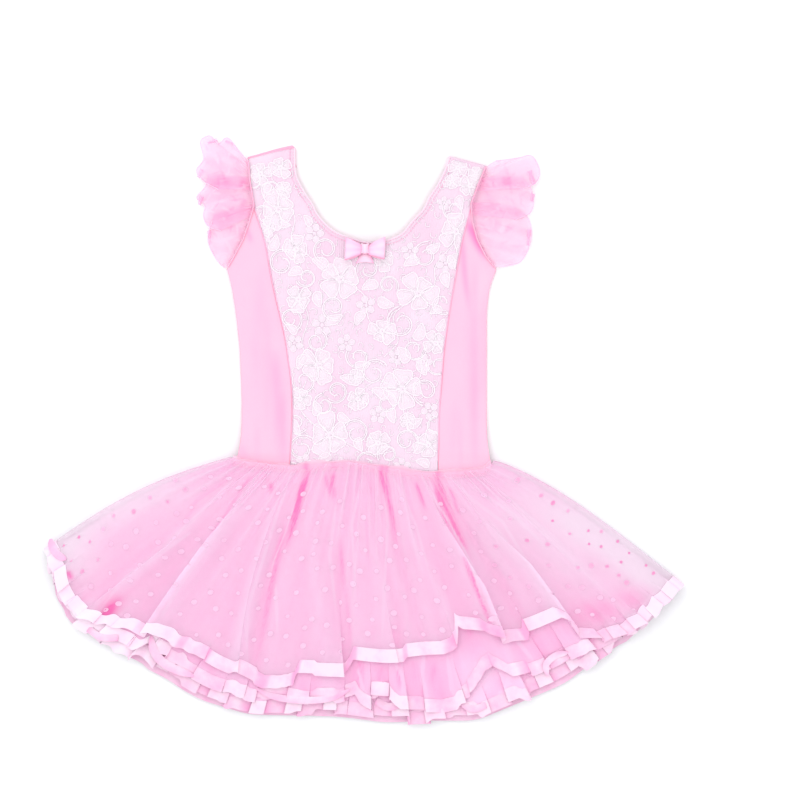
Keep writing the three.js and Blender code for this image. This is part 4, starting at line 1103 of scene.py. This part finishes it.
def petal_shape(length, width, notch=0.12, count=26):
    t = np.linspace(0, 2 * math.pi, count, endpoint=False)
    along = length * (0.56 - 0.46 * np.cos(t)) * (1 - notch * np.exp(-(((t - math.pi) / 0.5) ** 2)))
    wide = 0.5 * width * np.sin(t) * (0.75 - 0.35 * np.cos(t))
    return np.column_stack([along, wide])


def flower(x, y, size, angle, petals=5):
    for k in range(petals):
        turn = angle + 2 * math.pi * k / petals + 0.15 * math.sin(5 * k + x)
        length, width = 0.95 + 0.16 * math.sin(3 * k + y), 1.0 + 0.12 * math.sin(2 * k + x)
        shape = petal_shape(size * length, size * width)
        outline = turned(shape, x, y, turn)
        fill_shape(outline)
        cord_line(outline, 0.72, closed=True)
        inner = shape * 0.62 + np.array([size * 0.14, 0])
        cord_line(turned(inner, x, y, turn), 0.4, closed=True, lift=0.75)
        for bend in (-0.22, 0.0, 0.22):
            rib = np.column_stack([np.linspace(size * 0.3, size * 0.66, 6),
                                   np.linspace(0, bend * size * 0.7, 6)])
            cord_line(turned(rib, x, y, turn), 0.35, lift=0.6)
    ring = oval(size, 0.17, 0.17, 13)
    fill_shape(turned(ring, x, y, 0), 1.0)
    cord_line(turned(ring, x, y, 0), 0.55, closed=True, lift=0.6)


def berries(x, y, size, angle, count=5):
    for k in range(count):
        turn = angle + 2 * math.pi * k / count
        centre = (x + math.cos(turn) * size * 0.62, y + math.sin(turn) * size * 0.62)
        outline = turned(oval(size, 0.34, 0.3, 12), *centre, turn)
        fill_shape(outline, 0.9)
        cord_line(outline, 0.5, closed=True)
    fill_shape(turned(oval(size, 0.2, 0.2, 10), x, y, 0), 0.9)


def leaf(x, y, length, angle):
    t = np.linspace(0, 2 * math.pi, 24, endpoint=False)
    wide = 0.26 * length * np.sin(t) * (1.1 - 0.5 * np.cos(t))
    shape = np.column_stack([length * (0.5 - 0.5 * np.cos(t)), wide])
    shape[:, 1] += 0.1 * length * np.sin(shape[:, 0] / length * math.pi)
    outline = turned(shape, x, y, angle)
    fill_shape(outline, 0.3)
    cord_line(outline, 0.65, closed=True)
    rib = np.column_stack([np.linspace(0, length * 0.9, 10),
                           0.1 * length * np.sin(np.linspace(0, 0.9, 10) * math.pi)])
    cord_line(turned(rib, x, y, angle), 0.4)
    for k in range(1, 6):
        at = k / 6.5
        wide = 0.2 * length * math.sin(at * math.pi)
        base = (length * at, 0.1 * length * math.sin(at * math.pi))
        for sign in (-1, 1):
            vein = [(base[0] + 0.08 * length * s, base[1] + sign * wide * s)
                    for s in np.linspace(0.1, 0.95, 4)]
            cord_line(turned(vein, x, y, angle), 0.28)


def scroll(x, y, size, angle, turns=1.15, hand=1, double=True):
    t = np.linspace(0, 1, 46 if double else 14)
    radius = size * (1 - 0.68 * t)
    swing = hand * 2 * math.pi * turns * t
    line = np.column_stack([radius * np.cos(swing), radius * np.sin(swing)])
    cord_line(turned(line, x, y, angle), 0.72 if double else 0.46)
    if double:
        inner = line * (0.82 + 0.06 * np.sin(6 * t))[:, None]
        cord_line(turned(inner[:36], x, y, angle), 0.55)
        fill_shape(turned(line[-1] + oval(size, 0.1, 0.1, 8), x, y, angle), 0.7)


# Motifs by kind: x, y, size, turn in degrees and, for a scroll, the hand it turns to
FLOWERS = [
    (-86, 256, 20, 40), (-24, 186, 22, 10), (54, 172, 21, 200), (-46, 100, 20, 75), (38, 76, 22, 150),
    (-34, 30, 23, 25), (92, 234, 18, 300), (-66, 166, 14, 120), (64, 20, 15, 60), (-104, 292, 12, 10),
    (106, 280, 12, 80), (18, 134, 14, 20), (-6, 66, 12, 300), (72, 122, 13, 200), (-68, 216, 14, 150),
    (14, 22, 13, 100), (-64, 66, 12, 200), (20, 206, 12, 60), (-84, 298, 12, 30), (-80, 276, 9, 70),
    (94, 298, 10, 40), (112, 292, 8, 20), (88, 284, 9, 60), (-96, 238, 9, 30), (92, 204, 9, 10),
    (-8, 88, 9, 40), (44, 44, 9, 70),
]
BERRY_CLUSTERS = [
    (-50, 232, 10, 0), (82, 202, 10, 50), (-42, 140, 11, 20), (2, 160, 10, 30), (60, 102, 9, 10),
    (-18, 122, 9, 10), (-70, 122, 9, 45), (14, 50, 9, 10), (66, 54, 9, 40), (-60, 2, 9, 0), (38, -2, 9, 20),
    (-6, 212, 8, 50), (46, 214, 9, 15), (-98, 230, 7, 5), (112, 258, 7, 60), (80, 262, 7, 15),
    (32, 108, 8, 0), (-22, 0, 8, 30),
]
LEAVES = [
    (-52, 206, 18, 330), (-2, 176, 17, 20), (30, 160, 17, 160), (-22, 150, 16, 200), (34, 118, 18, 300),
    (-66, 96, 16, 60), (58, 142, 18, 250), (-64, 30, 17, 120), (8, 76, 18, 330), (58, 46, 16, 200),
    (-88, 230, 16, 250), (84, 178, 16, 100), (-44, 158, 16, 100), (-24, 88, 16, 340), (62, 90, 16, 110),
    (-100, 268, 15, 70), (76, 222, 15, 210), (40, 200, 16, 20), (-50, 64, 15, 280), (30, 42, 15, 100),
    (-8, 140, 15, 60), (6, 102, 15, 190), (-76, 190, 15, 20), (66, 152, 13, 20), (-14, 44, 14, 150),
    (-74, 240, 13, 160), (98, 256, 14, 100), (-114, 280, 12, 100), (120, 290, 12, 250), (52, 4, 14, 340),
    (-46, 4, 14, 20), (-2, 14, 14, 110), (-78, 140, 13, 320), (80, 146, 13, 240), (-60, 250, 12, 300),
]
SCROLLS = [
    (-82, 202, 16, 20, 1), (4, 196, 13, 200, -1), (38, 142, 17, 100, 1), (-30, 158, 14, 290, -1),
    (78, 162, 15, 60, -1), (-60, 84, 15, 140, 1), (10, 92, 15, 30, 1), (62, 74, 15, 260, -1),
    (-8, 32, 15, 170, -1), (42, 24, 14, 300, 1), (-62, 16, 15, 40, 1), (-74, 146, 13, 300, 1),
    (90, 256, 12, 140, 1), (-100, 250, 12, 200, -1), (62, 210, 14, 80, 1), (-38, 216, 14, 250, -1),
    (22, 62, 12, 90, -1), (-28, 74, 13, 220, 1), (72, 38, 12, 0, 1), (-112, 284, 9, 60, -1),
    (114, 270, 9, 200, 1), (-68, 42, 12, 330, -1), (-6, 108, 13, 150, 1), (50, 116, 13, 20, -1),
    (-48, 124, 12, 60, -1), (74, 100, 12, 150, 1), (2, 2, 12, 30, 1), (-40, 60, 12, 100, 1),
    (24, 180, 11, 330, 1), (-94, 276, 10, 330, 1), (100, 216, 11, 30, -1), (-58, 188, 11, 200, 1),
    (24, 10, 11, 210, -1), (-72, -2, 9, 120, 1),
]
STEMS = [
    [(-92, 280), (-70, 250), (-72, 226), (-50, 205), (-28, 186)],
    [(-22, 186), (0, 170), (4, 148), (14, 132)], [(52, 168), (30, 150), (34, 124), (20, 108)],
    [(-46, 98), (-62, 120), (-56, 148), (-66, 172)], [(38, 74), (14, 84), (-6, 70), (-14, 52)],
    [(-30, 30), (-52, 42), (-66, 62), (-58, 84)], [(52, 168), (70, 180), (72, 200), (92, 224)],
    [(38, 74), (56, 88), (58, 112), (70, 132)], [(66, 22), (46, 34), (40, 52), (38, 74)],
    [(-30, 30), (-10, 18), (6, 10), (30, 14)],
]
for motif, rows in ((flower, FLOWERS), (berries, BERRY_CLUSTERS), (leaf, LEAVES)):
    for mx, my, size, degrees in rows:
        motif(mx, my, size, math.radians(degrees))
for mx, my, size, degrees, hand in SCROLLS:
    scroll(mx, my, size, math.radians(degrees), hand=hand)
for line in STEMS:
    cord_line(curve_points(line, 40), 0.55)
FILIGREE_TRIES, FILIGREE_SPACING = 4000, 8.6
filigree, scatter = [], random.Random(SEED + 30)
for _ in range(FILIGREE_TRIES):
    spot = (scatter.uniform(-112, 120), scatter.uniform(-4, 300))
    if in_lace(*spot, 4) and all(math.dist(spot, other) > FILIGREE_SPACING for other in filigree):
        filigree.append(spot)
for mx, my in filigree:
    scroll(mx, my, scatter.uniform(3.4, 5.2), scatter.uniform(0, 6.3), 0.7, scatter.choice((-1, 1)), False)
belongs(joined("lace_cords", cords, LACE_CORD, 0.1), "lace")
belongs(joined("lace_fills", fills, LACE_FILL, 0.2), "lace")


# Sewing: stitches along the neckline and cord along the two front seams
STITCH_SPACING, STITCH_LENGTH = 3.0, 2.0


def neck_stitches(line, radius, lift):
    walked = np.concatenate([[0], np.cumsum(np.hypot(*np.diff(line, axis=0).T))])
    parts = []
    for start in np.arange(0, walked[-1] - STITCH_LENGTH, STITCH_SPACING):
        even = np.linspace(start, start + STITCH_LENGTH, 4)
        x, y = np.interp(even, walked, line[:, 0]), np.interp(even, walked, line[:, 1])
        z = lace_height(x, y) + lift + radius * np.array([-0.6, 0.4, 0.4, -0.6])
        parts.append(tube(np.column_stack([x, y, z]), radius))
    return parts


def inset_line(line, distance):
    ahead = np.gradient(line, axis=0)
    ahead /= np.linalg.norm(ahead, axis=1, keepdims=True)
    return line + distance * np.column_stack([ahead[:, 1], -ahead[:, 0]])


two_rows = neck_stitches(inset_line(neck, 5.4), 0.32, 0.45)
two_rows += neck_stitches(inset_line(neck, 2.0), 0.28, 0.5)
belongs(joined("neck_stitches", two_rows, THREAD, 0.1), "lace")
seam_parts = []
for seam in (LEFT_SEAM, RIGHT_SEAM):
    ys = np.linspace(4, seam[-1][0] - 1, 160)
    xs = soft_x(seam, ys)
    heights = front_height(xs, ys) + WALL + 0.45
    seam_parts.append(tube(np.column_stack([xs, ys, heights]), 0.42))
belongs(joined("front_seams", seam_parts, THREAD, 0.1), "stretch_cloth")

# The neckline's turned edge
binding = []
for share in np.linspace(0, 1, 7):
    line = inset_line(neck, 2.6 * share)
    lift = 0.3 * math.sin(math.pi * share) + 0.1
    binding.append(place(line[:, 0], line[:, 1], lace_height(line[:, 0], line[:, 1]) + lift))
neck_edge = grid_object("neck_edge", np.array(binding), LACE_FILL, np.full((7, len(neck)), 0.35))
belongs(neck_edge, "lace")


# Flutter sleeves: petals of sheer organza, each with a thin rolled edge. Name, side, top and bottom of
# the root, height of the tip, number of waves, line of the outer edge
PETALS = [
    ("left_upper", "left", 305, 276, 6.2, 4, [(-128, 316), (-133, 325), (-139, 328), (-146, 322), (-155,
     330), (-164, 324), (-161, 307), (-168, 295), (-160, 284), (-146, 276)]),
    ("left_middle", "left", 288, 250, 4.6, 3, [(-156, 292), (-160, 278), (-168, 268), (-160, 260), (-161,
     248), (-156, 239), (-144, 235)]),
    ("left_lower", "left", 262, 198, 3, 3, [(-150, 252), (-156, 233), (-156, 222), (-152, 212), (-146,
     203), (-140.5, 198)]),
    ("right_upper", "right", 298, 275, 6.2, 4, [(132, 305), (144, 306), (156, 308), (167, 310), (174, 302),
     (176, 290), (170, 281), (156, 276)]),
    ("right_middle", "right", 288, 251, 4.6, 3, [(158, 290), (167, 278), (170, 266), (167, 253), (152,
     246)]),
    ("right_lower", "right", 264, 198, 3, 4, [(150, 260), (163, 250), (168, 237), (167, 224), (163, 212),
     (156, 203), (146, 200), (138, 198.6)]),
]


def sleeve_seat(x, y, lift):
    """Height over the bodice's edge on which the petals' roots and their seams lie."""
    return front_height(x, y) + WALL + lift + 1.5 * smooth(248, 262, y)


def petal(row, columns=110, rows=40):
    """One petal of a sleeve, with its rolled edge and corners."""
    name, side, top, bottom, tip, waves, edge = row
    arm, sign = ARMS[side], SIGNS[side]
    share = np.linspace(0, 1, columns)
    root_y = mix(top, bottom, share)
    root = np.column_stack([arm(root_y) - sign * 1.4, root_y])
    outline = curve_points(edge, columns)
    down = np.linspace(0, 1, rows)[:, None]
    x = mix(root[:, 0], outline[:, 0], down)
    y = mix(root[:, 1], outline[:, 1], down)
    rng = random.Random(name)
    z = mix(1.6, tip, smooth(0, 0.5, down)) + 1.6 * np.sin(math.pi * down)
    z = z + 1.3 * down * np.sin(2 * math.pi * waves * share + rng.uniform(0, 6)) + 0.6
    for _ in range(9):
        spot, width, end = rng.random(), rng.uniform(0.012, 0.035), rng.uniform(0.15, 0.5)
        lean = rng.uniform(-0.25, 0.25)
        pleat = np.exp(-(((share - spot - lean * down) / width) ** 2)) * (1 - smooth(end * 0.4, end, down))
        z = z + rng.uniform(0.3, 0.9) * pleat
    z = z + crease(x, y, 4 + top / 50, 0.6) * smooth(0.1, 0.4, down)
    z = z + 0.5 * np.sin(x * 0.31 + y * 0.17 + top) * np.sin(y * 0.37 - x * 0.12) * smooth(0, 0.2, down)
    z = np.where(sign * (x - arm(y)) < 0.5, np.maximum(z, sleeve_seat(x, y, 0.9)), z)
    z = np.maximum(z, 0.4)
    # Short crease lines drawn only in colour: some painted shade, some painted highlight
    crease_shading = []
    for _ in range(16):
        i, j = rng.randrange(6, rows - 4), rng.randrange(6, columns - 6)
        turn, long = rng.uniform(0, math.pi), rng.uniform(3, 9)
        step = (long * math.cos(turn), long * math.sin(turn))
        spot = (x[i, j], y[i, j])
        line = [(spot[0] - step[0], spot[1] - step[1]), (spot[0] + 1.2 * step[1] / long, spot[1]),
                (spot[0] + step[0], spot[1] + step[1])]
        crease_shading.append((line, rng.uniform(0.7, 1.6), rng.choice((-0.28, 0.22))))
    # Painted shade in the hollows, deeper pink toward the root, and the painted crease lines
    tint = 0.08 + 0.22 * concavity(z, (3, 7)) + 0.12 * (1 - smooth(0, 0.6, down)) + marks(x, y, crease_shading)
    tint = np.clip(tint + 0.8 * marks(x, y, SLEEVE_DEEP_AND_SHADE_MARKS) - marks(x, y, SLEEVE_HIGHLIGHT_MARKS), -0.2, 0.9)
    obj = grid_object(f"sleeve_{name}_organza", place(x, y, z), ORGANZA, tint)
    belongs(obj, "organza", f"sleeve_{name}")
    rim = np.column_stack([x[-1], y[-1], z[-1]])
    hem = joined(f"sleeve_{name}_edge", [tube(rim, 0.4)], ORGANZA_EDGE, 0.25)
    rolled = joined(f"sleeve_{name}_curl", [curl(*spot) for spot in CURLS[name]], ORGANZA, 0.25)
    return obj, [belongs(part, "organza") for part in (hem, rolled)]


def curl(x, y, z, length, radius, degrees, turns=0.8):
    """Points and faces of a small rolled corner of organza."""
    along = np.linspace(0, 1, 12)[:, None]
    turn = np.linspace(0, 2 * math.pi * turns, 18)
    size = radius * (0.7 + 0.5 * along) * (1 - 0.35 * turn / turn[-1])
    across, up = size * np.cos(turn), size * np.sin(turn)
    direction = math.radians(degrees)
    px = x + length * (along - 0.5) * math.cos(direction) - across * math.sin(direction)
    py = y + length * (along - 0.5) * math.sin(direction) + across * math.cos(direction)
    grid = np.stack(np.broadcast_arrays(px, py, z + radius + up), axis=-1)
    return grid.reshape(-1, 3), grid_faces(*grid.shape[:2])


# Rolled corners by petal: x, y, z, length, radius, turn in degrees
CURLS = {
    "left_upper": [(-152, 324, 4, 10, 1.8, 20), (-135, 323, 4, 8, 1.6, 160), (-164, 292, 2.5, 9, 2.6, 60)],
    "left_middle": [(-164, 265, 2, 9, 2.6, 75)],
    "left_lower": [(-155, 228, 1.6, 14, 1.8, 95)],
    "right_upper": [(168, 288, 3, 14, 3.2, 110)],
    "right_middle": [(169, 268, 2, 8, 2.2, 80)],
    "right_lower": [(165, 228, 1.6, 16, 2.0, 85)],
}
petals = {row[0]: petal(row) for row in PETALS}

# The seams that hold the sleeves, rolled over the petals' roots
for side, top in (("left", 304), ("right", 298)):
    seam_y = np.linspace(199, top, 120)
    seam_x = ARMS[side](seam_y) - SIGNS[side] * 0.7
    seam_line = np.column_stack([seam_x, seam_y, sleeve_seat(seam_x, seam_y, 1.0)])
    roll_up = tube(seam_line, 0.55, sides=6)
    belongs(joined(f"armhole_seam_{side}", [roll_up], JERSEY, 0.15), "stretch_cloth")

# Satin bow
BOW_X, BOW_Y, BOW_BASE = 1, 214, 6.9


def bow_loop(side, parts=44):
    """One loop of the bow: a tube of satin, narrow at the knot and wide at its end."""
    sign = SIGNS[side]
    turn = np.linspace(0, 2 * math.pi, parts, endpoint=False)
    wide = np.linspace(-0.5, 0.5, 21)[:, None]
    along = 0.5 - 0.5 * np.cos(turn)
    flare = mix(8, 22, along**0.8)
    pinched = 1.2 * np.sin(math.pi * (wide + 0.5)) * (1 - along)
    x = BOW_X + sign * (3.6 + 16.4 * along - pinched + 1.0 * wide * sign)
    y = BOW_Y + 1 + wide * flare + 2.2 * along * (0.5 if side == "left" else 1) + 0.8 * np.sin(turn)
    z = BOW_BASE + 3.9 + 2.6 * np.sin(turn) * mix(0.7, 1, along)
    z = z - 0.7 * np.cos(math.pi * 2 * wide) * np.sin(turn)
    x, y, z = np.broadcast_arrays(x, y, z)
    creases = 0.35 * np.cos(wide * 15 + 1) * (1 - along) * np.sign(np.sin(turn) + 1e-6)
    # Painted shade: deeper pink toward the knot, at the loop's far end and along its edges, and painted
    # shade and highlight that follow the creases
    tint = 0.1 + 0.55 * (1 - along) ** 2 + 0.35 * along**8
    tint = np.clip(tint + 0.12 * np.cos(wide * 15 + 1) + 0.3 * np.abs(2 * wide) ** 6 + 0 * x, 0, 1)
    obj = grid_object(f"bow_{side}_satin", place(x, y, z + creases), SATIN_BOW, tint, wrap=True)
    return belongs(obj, "satin_bow", f"bow_loop_{side}")


bow_left, bow_right = bow_loop("left"), bow_loop("right")
around = np.linspace(0, 2 * math.pi, 28, endpoint=False)
length = np.linspace(-1, 1, 17)[:, None]
wrap = np.sqrt(np.maximum(0, 1 - np.abs(length) ** 4))
kx = BOW_X + (3.9 + 0.25 * np.cos(6 * around)) * np.cos(around) * mix(0.85, 1, np.abs(length) ** 2)
ky = BOW_Y + 2.5 + 5.0 * length + 0.3 * np.sin(3 * around)
kz = BOW_BASE + 4.6 + 3.4 * np.sin(around) * wrap
# The knot's tint follows its gathers: painted shade in them and painted highlight between
knot = grid_object("bow_knot_satin", place(*np.broadcast_arrays(kx, ky, kz)), SATIN_BOW,
                   np.clip(0.1 + 0.2 * np.cos(6 * around) * np.ones_like(ky), 0, 1), wrap=True)
belongs(knot, "satin_bow", "bow_knot")
tail_down = np.linspace(0, 1, 12)[:, None]
tail_wide = np.linspace(-0.5, 0.5, 19)
tx = BOW_X + tail_wide * mix(9, 18, tail_down)
ty = BOW_Y - 1 - 10 * tail_down - 5 * tail_wide**2 * tail_down
tz = BOW_BASE + 0.6 + 1.4 * np.cos(math.pi * tail_wide) * np.sin(math.pi * np.clip(tail_down, 0, 0.9))
# Painted shade toward the tail's edges
tail = grid_object("bow_tail_satin", place(*np.broadcast_arrays(tx, ty, tz)), SATIN_BOW,
                   np.clip(0.1 + 0.8 * np.abs(2 * tail_wide) ** 4 + 0 * ty, 0, 1))
belongs(tail, "satin_bow", "bow_tail")

# Floor, light and view
FLOOR_HALF = 3
CORNERS = [(sx * FLOOR_HALF, sy * FLOOR_HALF, 0) for sx, sy in ((-1, -1), (1, -1), (1, 1), (-1, 1))]
floor = bpy.data.objects.new("floor", bpy.data.meshes.new("floor"))
floor.data.from_pydata(CORNERS, [], [(0, 1, 2, 3)])
floor_material = bpy.data.materials.new("floor")
floor_material.use_nodes = True
floor_shader = floor_material.node_tree.nodes["Principled BSDF"]
floor_shader.inputs["Base Color"].default_value = (0.85, 0.855, 0.86, 1)
floor_shader.inputs["Roughness"].default_value = 0.9
floor_shader.inputs["Specular IOR Level"].default_value = 0.1
floor.data.materials.append(floor_material)
SCENE.collection.objects.link(floor)

world = bpy.data.worlds.new("studio")
world.use_nodes = True
sky = world.node_tree.nodes["Background"]
sky.inputs["Color"].default_value = (0.97, 0.98, 1, 1)
sky.inputs["Strength"].default_value = 1.21
SCENE.world = world
LIGHT_SIZE = 2.2


def area_light(name, location, power):
    """A white square light that looks at the middle of the dress."""
    light = bpy.data.lights.new(name, "AREA")
    light.size = LIGHT_SIZE
    light.energy = power
    obj = bpy.data.objects.new(name, light)
    obj.location = location
    obj.rotation_euler = (-Vector(location)).to_track_quat("-Z", "Y").to_euler()
    SCENE.collection.objects.link(obj)


area_light("window", (-1.1, 0.95, 2.0), 14)
area_light("fill", (1.5, -0.9, 1.9), 6)

SCENE.view_settings.view_transform = "Standard"
SCENE.cycles.transparent_max_bounces = 24
SCENE.cycles.max_bounces = 8
